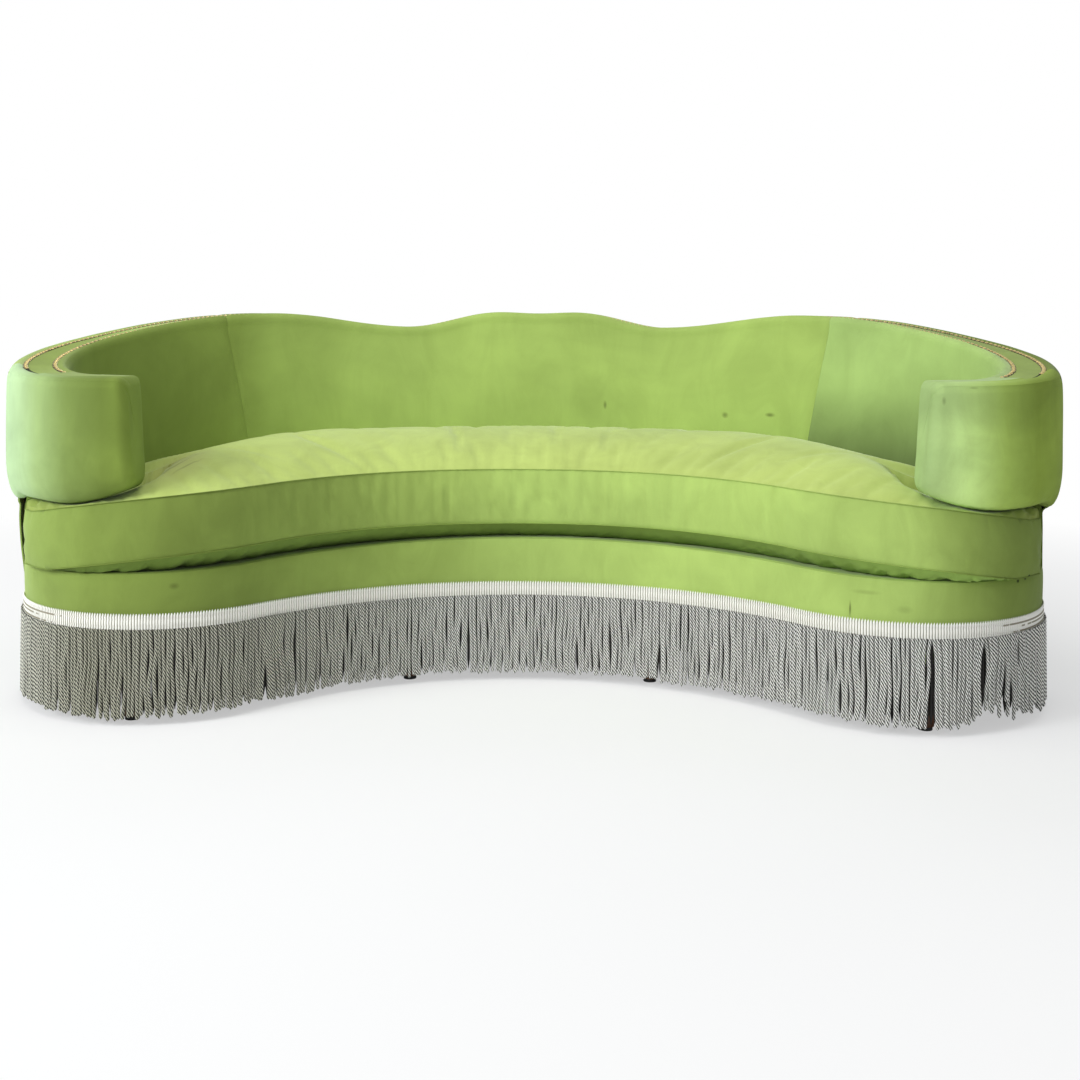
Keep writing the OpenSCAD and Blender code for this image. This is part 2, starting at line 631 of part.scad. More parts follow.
module arm_front_foam(s) {
    rows = [5, 7, 9, 11, 12, 13, 15, 17, 18];
    us = concat([wall_len + 0.5], [for (i = [1:len(front_us) - 1]) front_us[i]]);
    scale([s, 1, 1]) sheet(
        [for (u = us) let (l = arm_loop(u, skin + ease_gap), c = crest(u)) [for (j = rows) arm_pt(u, l[j].x, l[j].y, c)]],
        [for (u = us) let (l = arm_loop(u, skin + ease_gap), c = crest(u), t0 = board_t0 - 5 * ease_gap,
                t1 = board_t1 + 4 * ease_gap, t2 = post_t0 - 5 * ease_gap, z0 = arm_board_z - ease_gap)
            [for (q = [[t0, c - 15], [t0, c - 32], [t2, z0 + 20], [t2, z0], [35, z0], [t1, z0], [t1, z0 + 20],
                [t1, c - 40], [t1, c - 20]]) wall_pt(leaned(u, q.y, c), q.x, q.y)]]);
}
module right_arm_front_foam() { color("lightyellow") placed() arm_front_foam(1); }
module left_arm_front_foam() { color("lightyellow") placed() arm_front_foam(-1); }

// Flat band between the nail rows, and the two rows themselves as domed trim
module crest_band() {
    t0 = outer_nail_t + lip + ease_gap + 0.6;
    t1 = inner_nail_t - lip - ease_gap - 0.6;
    band_us = wall_stations(arm_len - 52);
    color("darkseagreen") placed() sheet(
        [for (u = band_us) [for (t = [t0, t1]) wall_pt(u, t, crest(u) - sink)]],
        [for (u = band_us) [for (t = [t0, t1]) wall_pt(u, t, crest(u) - sink - band_t)]]);
}
module nail_trim(t, reach) {
    us = wall_stations(reach);
    color("goldenrod") placed() sheet(
        [for (u = us) let (z = crest(u) - sink + ease_gap)
            [wall_pt(u, t - trim_w / 2, z + 0.4), wall_pt(u, t, z + trim_h), wall_pt(u, t + trim_w / 2, z + 0.4)]],
        [for (u = us) let (z = crest(u) - sink + ease_gap)
            [wall_pt(u, t - trim_w / 2, z), wall_pt(u, t, z), wall_pt(u, t + trim_w / 2, z)]]);
}
outer_nail_end = back_len + corner_r * (join_a + 20) / deg;
inner_nail_end = back_len + corner_r * (join_a + 58) / deg;
module outer_nail_trim() { nail_trim(outer_nail_t, outer_nail_end); }
module inner_nail_trim() { nail_trim(inner_nail_t, inner_nail_end); }

// Border under the cushion, from one side wall's front end round to the other
module front_border_cover() {
    color("yellowgreen") placed() intersection() {
        raised(leg_h, deck_z + 10) intersection() {
            ring(0, skin);
            behind_walls(false);
        }
        under_deck(0);
    }
}
module front_border_padding() {
    color("whitesmoke") placed() raised(leg_h, burlap_z) intersection() {
        ring(skin + ease_gap, rail_t0 - ease_gap);
        behind_walls(false);
    }
}

// Woven header tape and the bundles of twisted cords that hang from it
header_t = 4;
module fringe_header() {
    color("ivory") placed() raised(header_z - header_h, header_z) ring(-header_t, -ease_gap);
}
cord_w = 11.5;
cord_d = 7;
cord_t = -header_t - 1.5;
module cords_on(c, r, a0, a1, turn) {
    n = round(abs(a1 - a0) / deg * r / cord_pitch);
    for (i = [0:n - 1]) rotate_about(c, a0 + (i + 0.5) * (a1 - a0) / n)
        translate([r, 0]) square([cord_d, cord_w], center = true);
}
module rotate_about(c, a) { translate(c) rotate(a) children(); }
module cord_plan() {
    cords_on(arc_b, back_r - cord_t, join_a, 180 - join_a);
    for (s = [-1, 1]) scale([s, 1]) cords_on(arc_c, corner_r - cord_t, join_a, front_a - 180);
    cords_on(arc_a, front_r + cord_t, front_a, 180 - front_a);
}
module fringe_cords() {
    top = header_z - header_h - ease_gap;
    color("gainsboro") placed() {
        raised(fringe_gap, top) cord_plan();
        raised(top - 8, top) ring(-header_t, -1);
    }
}

// Seat cushion: front and back edges as lists of plan points from the middle to the lobe
lobe_front_a = acos((lobe_x - arc_c.x) / (corner_r + cushion_out));
lobe_front_y = arc_c.y - (corner_r + cushion_out) * sin(lobe_front_a);
wall_end = arc_c + corner_r * [cos(wall_end_a), -sin(wall_end_a)];
lobe_back_y = wall_end.y - skin - 2;
tub_x = arc_c.x + seat_corner_r - cushion_gap;
function arc_pts(c, r, a0, a1, n) = [for (a = steps(a0, a1, n)) c + r * [cos(a), sin(a)]];
function path_len(l) = sum_of([for (i = [1:len(l) - 1]) norm(l[i] - l[i - 1])]);
function path_at(l, d, i = 0) =
    let (s = norm(l[i + 1] - l[i]))
    d <= s || i == len(l) - 2 ? mix(l[i], l[i + 1], clamp01(d / s)) : path_at(l, d - s, i + 1);
front_edge = concat(arc_pts(arc_a, front_r - cushion_out, 90, front_a, 24),
    arc_pts(arc_c, corner_r + cushion_out, front_a - 180 + 3, -79, 16));
front_lobe = [for (a = [70, 61, 51, lobe_front_a]) arc_c + (corner_r + cushion_out) * [cos(a), -sin(a)]];
rear_edge = concat(arc_pts(arc_s, seat_r - cushion_gap, 90, seat_join_a, 30),
    arc_pts(arc_c, seat_corner_r - cushion_gap, seat_join_a - 3, 0, 6), [[tub_x, wall_end.y + 50]]);
rear_lobe = [[tub_x + 2, wall_end.y + 31], [mix(tub_x, lobe_x, 0.5), wall_end.y + 13],
    [lobe_x - 8, lobe_back_y + 1], [lobe_x, lobe_back_y - 10]];

// The arm front's inner face, past which the cushion may stand higher than its lobes
function pocket_y(x) =
    let (r = corner_r - inner_top_t, d = max(0, abs(x) - arc_c.x))
    arc_c.y - sqrt(max(0, r * r - d * d)) + cushion_travel + 95;
ridge_x0 = 520;
ridge_x1 = 1000;
function ridge(x) = mix(ridge_z, ridge_end_z, ease((abs(x) - ridge_x0) / (ridge_x1 - ridge_x0)));
function seam_at_x(x) = seam_z - seam_drop * arch(x);
// Top and underside of the cushion at a plan point, v being its place from front to back edge
crown_p = 2.4;
lid_gap = 5;
function top_z(p, v) =
    let (s = seam_at_x(p.x), z = s + (ridge(p.x) - s) * (1 - pow(abs(2 * v - 1), crown_p)),
         cap = lid(p.x) - lid_gap + max(0, p.y - pocket_y(p.x)) * 0.8)
    min(z, max(cap, s));
function low_z(p, v) =
    let (s = seam_at_x(p.x) - boxing_h)
    max(deck_at(p.x) + 1, s - 60 * (1 - pow(abs(2 * v - 1), 6)));
// A grid of plan points over the cushion, inset by d from its edges
function cushion_grid(cols, rows, d) =
    let (lf = path_len(front_edge), lr = path_len(rear_edge), half = cols / 2, main = half - 4)
    [for (i = [0:cols])
        let (s = i < half ? -1 : 1, c = abs(i - half), w = c / half,
             f = c > main ? front_lobe[c - main - 1] : path_at(front_edge, c / main * lf),
             k = c > main ? rear_lobe[c - main - 1] : path_at(rear_edge, c / main * lr),
             e = (k - f) / norm(k - f) * d,
             x0 = s * (f + e).x - s * w * w * d,
             x1 = s * (k - e).x - s * w * w * d)
        [for (j = [0:rows])
            let (v = (1 - cos(180 * j / rows)) / 2, q = mix([x0, (f + e).y], [x1, (k - e).y], v))
            [q.x, q.y, v]]];
function lifted(g, which, d) = [for (c = g) [for (q = c)
    [q.x, q.y, (which ? top_z(q, q.z) : low_z(q, q.z)) + d]]];
cushion_cols = 32;
module cushion_top_panel() {
    g = cushion_grid(cushion_cols, 8, 0);
    color("greenyellow") placed() sheet(lifted(g, true, 0), lifted(g, true, -skin));
}
module cushion_bottom_panel() {
    g = cushion_grid(cushion_cols, 8, 0);
    color("olivedrab") placed() sheet(lifted(g, false, skin - 0.4), lifted(g, false, -0.4));
}
// The rim of the cushion as one loop of [x, y] points moved inwards by d: along the front
// from left to right, then back along the rear
function rim(d) =
    let (g = cushion_grid(cushion_cols, 1, 0), n = cushion_cols)
    shrunk(concat([for (i = [0:n]) [g[i][0].x, g[i][0].y]],
        [for (i = [n:-1:0]) [g[i][1].x, g[i][1].y]]), d);
// Boxing: the band between the seams, round the front and both ends to the zip
zip_from = 8;
rear_last = 2 * cushion_cols + 1;
boxing_is = concat([for (k = [rear_last - zip_from:rear_last]) k],
    [for (k = [0:cushion_cols + 1 + zip_from]) k]);
zip_is = [for (k = [cushion_cols + 1 + zip_from:rear_last - zip_from]) k];
// Rows of points on the rim from depth z0 to depth z1 below the top seam
function rim_rows(is, d, zs) =
    let (r = rim(d)) [for (k = is) [for (z = zs) [r[k].x, r[k].y, seam_at_x(r[k].x) - z]]];
box_top = skin + ease_gap;
box_low = boxing_h - skin - ease_gap;
module cushion_boxing() {
    zs = [box_top, boxing_h / 3, 2 * boxing_h / 3, box_low];
    color("yellowgreen") placed() sheet(rim_rows(boxing_is, 0.2, zs), rim_rows(boxing_is, skin, zs));
}
// Rear boxing: an upper and a lower strip with the zip between them
zip_h = 16;
zip_top = (boxing_h - zip_h) / 2;
module cushion_zip_strips() {
    color("yellowgreen") placed() for (zs = [[box_top, zip_top], [zip_top + zip_h, box_low]])
        sheet(rim_rows(zip_is, 0.2, zs), rim_rows(zip_is, skin, zs));
}
module cushion_zip() {
    zs = [zip_top + ease_gap, zip_top + zip_h - ease_gap];
    color("dimgray") placed() sheet(rim_rows(zip_is, 0.6, zs), rim_rows(zip_is, skin, zs));
}
// The core follows the panels, its border inside the boxing
core_in = skin + 3;
function core_grid(which, d) =
    let (g = lifted(cushion_grid(cushion_cols, 8, 0), which, d), r = rim(core_in), n = cushion_cols)
    [for (i = [0:n])
        let (f = r[i], k = r[rear_last - i])
        [for (j = [0:8])
            let (p = g[i][j], v = (1 - cos(180 * j / 8)) / 2, e = j == 0 ? f : j == 8 ? k : mix(f, k, v))
            j == 0 || j == 8 || i == 0 || i == n ? [e.x, e.y, p.z] : p]];
module cushion_core() {
    color("khaki") placed() sheet(core_grid(true, -skin - 1.5), core_grid(false, skin + 1.5));
}
// Slider of the zip, which runs round the back of the cushion about arc_s
slider_a = let (p = rim(0)[cushion_cols + 1 + zip_from])
    round((atan2(p.y - arc_s.y, p.x - arc_s.x) + 0.6) * 10) / 10;
module zip_slider() {
    z = seam_at_x(0) - boxing_h / 2;
    color("silver") placed() translate([arc_s.x, arc_s.y, z]) rotate(slider_a)
        translate([seat_r - cushion_gap - 0.1, 0, 0]) {
            translate([0, -5, -5]) cube([4, 10, 10]);
            translate([1.5, -3, -28]) cube([1.5, 6, 24]);
        }
}

front_rail();
back_rail();
side_rails();
seat_stretchers();
corner_blocks();
sinuous_springs();
spring_clips();
deck_burlap();
deck_pad();
deck_cover();
back_posts();
arm_posts();
lower_back_rail();
crest_board();
arm_front_boards();
arm_front_blocks();
back_webbing();
back_foam();
left_arm_foam();
right_arm_foam();
inside_back_cover();
left_inside_arm_cover();
right_inside_arm_cover();
outside_back_cover();
left_outside_arm_cover();
right_outside_arm_cover();
outside_padding();
left_arm_front_foam();
right_arm_front_foam();
left_arm_front_cover();
right_arm_front_cover();
crest_band();
outer_nail_trim();
inner_nail_trim();
front_border_padding();
front_border_cover();
fringe_header();
fringe_cords();
dust_cover();
feet();
foot_glides();
foot_plates();
cushion_top_panel();
cushion_bottom_panel();
cushion_boxing();
cushion_zip_strips();
cushion_core();
cushion_zip();
zip_slider();
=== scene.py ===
import bpy
import math

import numpy as np
from mathutils import Matrix, Vector, noise


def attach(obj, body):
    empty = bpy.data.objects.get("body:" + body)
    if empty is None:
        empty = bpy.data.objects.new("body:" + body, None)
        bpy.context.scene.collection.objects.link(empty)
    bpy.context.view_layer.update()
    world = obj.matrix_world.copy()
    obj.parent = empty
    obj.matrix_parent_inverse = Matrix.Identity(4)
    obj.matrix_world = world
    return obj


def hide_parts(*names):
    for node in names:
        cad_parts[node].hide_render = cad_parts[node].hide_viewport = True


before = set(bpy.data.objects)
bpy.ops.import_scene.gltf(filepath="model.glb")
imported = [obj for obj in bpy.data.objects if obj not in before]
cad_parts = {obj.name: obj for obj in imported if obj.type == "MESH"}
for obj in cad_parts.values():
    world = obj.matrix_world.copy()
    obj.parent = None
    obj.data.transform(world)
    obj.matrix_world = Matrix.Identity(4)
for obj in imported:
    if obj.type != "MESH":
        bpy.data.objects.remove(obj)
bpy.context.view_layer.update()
ROOT, CUSHION = "frame_and_upholstery", "seat_cushion"

# Sizes, in millimetres, as in the CAD source
DEG = 180 / math.pi
FRONT_R, FRONT_DIP, CORNER_R, BASE_D, PAD_OUT = 780.0, 380.0, 320.0, 1110.0, 41.0
ARM_GAP, WALL_END_A = 1606.0, 22.0
LEG_H, HEADER_Z, HEADER_H, FRINGE_GAP = 92.0, 230.0, 33.0, 12.0
ARM_Z, HUMP_Z, MID_SAG, VALLEY_Z, SIDE_HUMP_Z = 725.0, 874.0, 3.0, 831.0, 866.0
OUTER_NAIL_T, NAIL_ROWS, INNER_TOP_T, SEAT_BACK_T, SEAT_ARM_T = -2.0, 62.0, 92.0, 175.0, 120.0
INNER_NAIL_T = OUTER_NAIL_T + NAIL_ROWS
SEAM_AT, SEAM_SLANT, UNDER_Z, END_LEAN, SKIN, SINK = 931.0, 48.0, 434.0, 17.0, 3.0, 5.0
LOBE_X = 1086.0
DECK_Z, DECK_DROP, DECK_HALF = 334.0, 20.0, 1050.0
LID_Z, LID_RISE, LID_X, LID_RUN = 455.0, 44.0, 985.0, 180.0
# Thickness of a cover's cloth and depth of its seams, in metres
CLOTH, DIP = 0.003, 0.0022
# Centres of the front arc and of the corner circle
A = np.array([0.0, FRONT_DIP - FRONT_R])
C = np.array([math.sqrt((FRONT_R + CORNER_R) ** 2 - (CORNER_R - A[1]) ** 2), CORNER_R])


def back_arc(corner, depth):
    """Radius, centre height and junction angle of a back arc that meets the corner circle smoothly."""
    k = C[1] - depth
    r = (corner ** 2 - C[0] ** 2 - k ** 2) / (2 * k + 2 * corner)
    return r, depth - r, math.degrees(math.atan2(C[1] - depth + r, C[0]))


BACK_R, BACK_Y, JOIN_A = back_arc(CORNER_R, BASE_D)
SEAT_R, SEAT_Y, SEAT_JOIN_A = back_arc(CORNER_R - SEAT_ARM_T, BASE_D - SEAT_BACK_T)
FRONT_A = math.degrees(math.atan2(C[1] - A[1], C[0]))
Y_SHIFT = PAD_OUT / 2 - (BASE_D + PAD_OUT) / 2
BACK_LEN = BACK_R * (90 - JOIN_A) / DEG
WALL_LEN = BACK_LEN + CORNER_R * (JOIN_A + WALL_END_A) / DEG
ARM_END_A = math.degrees(math.acos((ARM_GAP / 2 - C[0]) / (CORNER_R + PAD_OUT)))
ARM_LEN = BACK_LEN + CORNER_R * (JOIN_A + ARM_END_A) / DEG
ARM_FRONT_AT = BACK_LEN + CORNER_R * (JOIN_A + 90) / DEG
# Where the cloud line turns, along the wall from the middle of the back, and how high it is there
HUMP_AT, VALLEY_AT, SIDE_HUMP_AT, ARM_FALL = 113.0, 384.0, 801.0, 106.0
STATIONS = np.array([0, HUMP_AT, VALLEY_AT, SIDE_HUMP_AT, ARM_FRONT_AT - ARM_FALL, 2 * ARM_LEN])
HEIGHTS = np.array([HUMP_Z - MID_SAG, HUMP_Z, VALLEY_Z, SIDE_HUMP_Z, ARM_Z, ARM_Z])


def ease(f):
    return (1 - np.cos(np.pi * np.clip(f, 0, 1))) / 2


def mix(a, b, f):
    return a + (b - a) * f


def crest(u):
    """Height of the cloud line at distance u from the middle of the back."""
    v = np.abs(np.asarray(u, float))
    i = np.clip(np.searchsorted(STATIONS, v, side="right") - 1, 0, 4)
    f = ease((v - STATIONS[i]) / (STATIONS[i + 1] - STATIONS[i]))
    return mix(HEIGHTS[i], HEIGHTS[i + 1], f)


def out_angle(u):
    """Direction, in degrees, in which the wall faces outwards at distance u."""
    v = np.abs(u)
    return np.where(v < BACK_LEN, 90 - v / BACK_R * DEG, JOIN_A - (v - BACK_LEN) / CORNER_R * DEG)


def wall_pt(u, t, z):
    """Plan point at distance u along the base line from the middle of the back, t inside it, in metres."""
    u, t, z = np.broadcast_arrays(np.asarray(u, float), np.asarray(t, float), np.asarray(z, float))
    v, a = np.abs(u), np.radians(out_angle(u))
    on_back = v < BACK_LEN
    r = np.where(on_back, BACK_R, CORNER_R) - t
    x = np.where(u < 0, -1, 1) * (np.where(on_back, 0, C[0]) + r * np.cos(a))
    y = np.where(on_back, BACK_Y, C[1]) + r * np.sin(a)
    return metres(np.stack([x, y, z], -1))


def metres(p):
    return (np.asarray(p, float) + np.array([0, Y_SHIFT, 0])) / 1000


def seat_t(u):
    """Offset of the wall's inner face at seat height."""
    v, a = np.abs(u), np.radians(out_angle(u))
    e = BACK_Y - SEAT_Y
    rho = np.sqrt(SEAT_R ** 2 - (e * np.cos(a)) ** 2) - e * np.sin(a)
    low = CORNER_R - (CORNER_R - SEAT_ARM_T) / np.cos(np.clip(-a, 0, WALL_END_A / DEG))
    return np.where(v < BACK_LEN, BACK_R - rho, np.where(a >= 0, SEAT_ARM_T, low))


def deck_at(x):
    """Height of the deck, which falls from the middle to the two sides."""
    return DECK_Z - DECK_DROP * ease(np.abs(x) / DECK_HALF)


def lid(x):
    """Highest point of the cushion's lobes, which pass under the arm fronts."""
    return LID_Z + LID_RISE * (np.maximum(0, LID_X - np.abs(x)) / LID_RUN) ** 2


def arm_under(x):
    """Height of an arm front's underside."""
    start = LOBE_X + 14
    return mix(lid(x) + 0.6, UNDER_Z, ease((np.abs(x) - start) / (C[0] + CORNER_R - start)))


# Mesh helpers
def hashed(i, seed=0):
    """A fixed pseudo-random number from 0 to 1 for whole number i."""
    x = math.sin(i * 127.1 + seed * 311.7) * 43758.5453
    return x - math.floor(x)


def waves(points, size, seed=0.0):
    """Smooth noise from -1 to 1 at each point of a grid, for bumps about size metres across."""
    flat = np.asarray(points, float).reshape(-1, 3) / size + seed * 7.31
    return np.array([noise.noise(Vector(p)) for p in flat]).reshape(np.shape(points)[:-1])


def unit(v):
    """Vectors, or rows of them, brought to length 1."""
    return v / np.maximum(np.linalg.norm(v, axis=-1, keepdims=True), 1e-12)


def grid_normals(g):
    return unit(np.cross(np.gradient(g, axis=0), np.gradient(g, axis=1)))


def catmull(points, per):
    """A smooth line through the points, with per steps between each pair."""
    p = np.asarray(points, float)
    p = np.concatenate([[2 * p[0] - p[1]], p, [2 * p[-1] - p[-2]]])
    f = np.linspace(0, 1, per, endpoint=False)[:, None]
    rows = []
    for i in range(1, len(p) - 2):
        a, b, c, d = p[i - 1], p[i], p[i + 1], p[i + 2]
        square, cube = 2 * a - 5 * b + 4 * c - d, 3 * b - a - 3 * c + d
        rows.append(0.5 * (2 * b + (c - a) * f + square * f ** 2 + cube * f ** 3))
    return np.concatenate(rows + [p[-2:-1]])


def resample(line, n):
    """n + 1 points at even steps along a line."""
    d = np.concatenate([[0], np.cumsum(np.linalg.norm(np.diff(line, axis=0), axis=1))])
    s = np.linspace(0, d[-1], n + 1)
    return np.stack([np.interp(s, d, line[:, k]) for k in range(line.shape[1])], -1)


def show(name, me, materials, body=ROOT, replaces=()):
    """Puts a finished mesh in the scene as a piece that rides on a body."""
    o = bpy.data.objects.new(name, me)
    scene.collection.objects.link(o)
    for m in materials:
        me.materials.append(m)
    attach(o, body)
    if replaces:
        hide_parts(*replaces)
    return o


def make(name, verts, faces, materials, body=ROOT, smooth=40, replaces=()):
    """A piece from its vertices and faces, smooth but for edges sharper than the angle smooth."""
    me = bpy.data.meshes.new(name)
    points = [tuple(v) for v in np.asarray(verts, float)]
    me.from_pydata(points, [], [tuple(int(i) for i in f) for f in faces])
    me.validate()
    me.update()
    me.shade_smooth()
    me.set_sharp_from_angle(angle=math.radians(smooth))
    return show(name, me, materials, body, replaces)


def grid_faces(n, m, wrap_n=False, wrap_m=False, start=0):
    """Quads of a grid of n by m points whose first index is start."""
    i, j = np.meshgrid(np.arange(n - 1 + wrap_n), np.arange(m - 1 + wrap_m), indexing="ij")
    i2, j2 = (i + 1) % n, (j + 1) % m
    return np.stack([i * m + j, i2 * m + j, i2 * m + j2, i * m + j2], -1).reshape(-1, 4) + start


def shell(a, b, wrap=False):
    """Vertices and faces of the closed skin between two grids; wrap closes it round the first direction."""
    n, m = a.shape[:2]
    o = n * m
    verts = np.concatenate([a.reshape(-1, 3), b.reshape(-1, 3)])
    faces = [grid_faces(n, m, wrap), grid_faces(n, m, wrap, start=o)[:, ::-1]]
    i = np.arange(n if wrap else n - 1)
    i2 = (i + 1) % n
    for j, flip in ((0, False), (m - 1, True)):
        q = np.stack([i2 * m + j, i * m + j, o + i * m + j, o + i2 * m + j], -1)
        faces.append(q[:, ::-1] if flip else q)
    if not wrap:
        j = np.arange(m - 1)
        for i0, flip in ((0, True), (n - 1, False)):
            q = np.stack([i0 * m + j + 1, i0 * m + j, o + i0 * m + j, o + i0 * m + j + 1], -1)
            faces.append(q[:, ::-1] if flip else q)
    return verts, np.concatenate(faces)


def facing_out(verts, faces):
    """The faces of a closed mesh, all turned round if they face inwards."""
    v, volume = np.asarray(verts), 0.0
    for k in range(1, faces.shape[1] - 1):
        volume += np.einsum("ij,ij->", v[faces[:, 0]], np.cross(v[faces[:, k]], v[faces[:, k + 1]]))
    return faces if volume > 0 else faces[:, ::-1]


def skin_of(name, outer, away, materials, replaces, thickness=CLOTH):
    """A cover: the grid of its outer face, and its inner face below it; the outer face looks towards away."""
    inner = outer - side_of(outer, away) * grid_normals(outer) * thickness
    verts, faces = shell(outer, inner)
    return make(name, verts, facing_out(verts, faces), materials, replaces=replaces)


def side_of(grid, away):
    """1 where the grid's normals look towards away, and -1 where they look from it, told at its middle."""
    n, m = grid.shape[:2]
    return np.sign(np.dot(grid_normals(grid)[n // 2, m // 2], away))


def inflate(o, pinned, cap, pressure=4.0, shrink=0.0, frames=20, stiff=12.0, bend=0.4, limit=None):
    """Cloth simulation of a stuffed piece: pressure from inside, its seams pinned, no point moving past cap.

    limit, if given, takes the new points and gives them back held clear of the neighbours."""
    group = o.vertex_groups.new(name="seams")
    weights = np.asarray(pinned, float)
    for w in np.unique(np.round(weights, 2)):
        if w > 0:
            group.add([int(i) for i in np.nonzero(np.round(weights, 2) == w)[0]], float(w), "REPLACE")
    m = o.modifiers.new("cloth", "CLOTH")
    m.settings.vertex_group_mass = "seams"
    m.settings.pin_stiffness = 4
    m.settings.quality = 6
    m.settings.mass = 0.25
    m.settings.tension_stiffness = m.settings.compression_stiffness = stiff
    m.settings.shear_stiffness = stiff * 0.5
    m.settings.bending_stiffness = bend
    m.settings.use_pressure = True
    m.settings.uniform_pressure_force = pressure
    m.settings.shrink_min = shrink
    m.settings.effector_weights.gravity = 0
    m.collision_settings.use_collision = False
    m.point_cache.frame_start, m.point_cache.frame_end = 1, frames
    for f in range(1, frames + 1):
        scene.frame_set(f)
    n = len(o.data.vertices)
    old, new = np.empty(n * 3, np.float32), np.empty(n * 3, np.float32)
    o.data.vertices.foreach_get("co", old)
    done = o.evaluated_get(bpy.context.evaluated_depsgraph_get()).data
    done.vertices.foreach_get("co", new)
    o.modifiers.clear()
    o.vertex_groups.clear()
    old, new = old.reshape(-1, 3), new.reshape(-1, 3)
    step = new - old
    far = np.linalg.norm(step, axis=1, keepdims=True)
    print(f"{o.name} moved by up to {far.max() * 1000:.1f} mm, mean {far.mean() * 1000:.1f}")
    new = old + step * (cap * np.tanh(far / cap) / np.maximum(far, 1e-9))
    if limit:
        new = limit(new)
    o.data.vertices.foreach_set("co", new.astype(np.float32).ravel())
    o.data.update()
    scene.frame_set(1)


# Camera, lights, floor
# The photo's side, the lens' focal length and the point straight ahead of the lens, in pixels
PHOTO, FOCAL_PX, CENTRE_PX = 1080, 1250, (529, 326)
scene = bpy.context.scene
cam = bpy.data.objects.new("camera", bpy.data.cameras.new("camera"))
scene.collection.objects.link(cam)
scene.camera = cam
cam.location = (0.078, -2.573 + Y_SHIFT / 1000, 0.834)
heading, level, roll = (Matrix.Rotation(math.radians(a), 3, axis)
                        for a, axis in ((1.612, "Z"), (90, "X"), (0.258, "Z")))
cam.rotation_euler = (heading @ level @ roll).to_euler()
cam.data.sensor_width = 36
cam.data.lens = cam.data.sensor_width * FOCAL_PX / PHOTO
cam.data.shift_x = (PHOTO / 2 - CENTRE_PX[0]) / PHOTO
cam.data.shift_y = -(PHOTO / 2 - CENTRE_PX[1]) / PHOTO
cam.data.clip_end = 100
scene.view_settings.view_transform = "Standard"


def area_light(name, place, target, size, power, color=(1, 1, 1)):
    light = bpy.data.lights.new(name, "AREA")
    light.shape, light.size, light.energy, light.color = "DISK", size, power, color
    o = bpy.data.objects.new(name, light)
    scene.collection.objects.link(o)
    o.location = place
    o.rotation_euler = (Vector(target) - Vector(place)).to_track_quat("-Z", "Y").to_euler()


area_light("key", (-4.2, -3.1, 2.9), (0, 0, 0.5), 2.4, 190, (0.95, 0.98, 1.0))
area_light("top", (-0.4, -1.4, 4.2), (0, 0, 0.4), 3.2, 60, (1.0, 0.98, 0.95))
area_light("back", (-0.8, 3.6, 3.2), (0, 0, 0.6), 2.6, 30)

# Materials
# Painted shade along x is given from minus to plus this, in metres
SHADE_REACH = 1.25


class Nodes:
    """A node tree being built, for a material or the world."""

    def __init__(self, owner):
        owner.use_nodes = True
        self.tree = owner.node_tree
        self.tree.nodes.clear()

    def add(self, kind, **values):
        """A node, with its settings and its inputs by name."""
        n = self.tree.nodes.new("ShaderNode" + kind)
        for k, v in values.items():
            if hasattr(n, k):
                setattr(n, k, v)
            else:
                n.inputs[k.replace("_", " ")].default_value = v
        return n

    def link(self, a, i, b, j):
        self.tree.links.new(a.outputs[i], b.inputs[j])
        return b

    def wire(self, *links):
        for a, i, b, j in links:
            self.link(a, i, b, j)


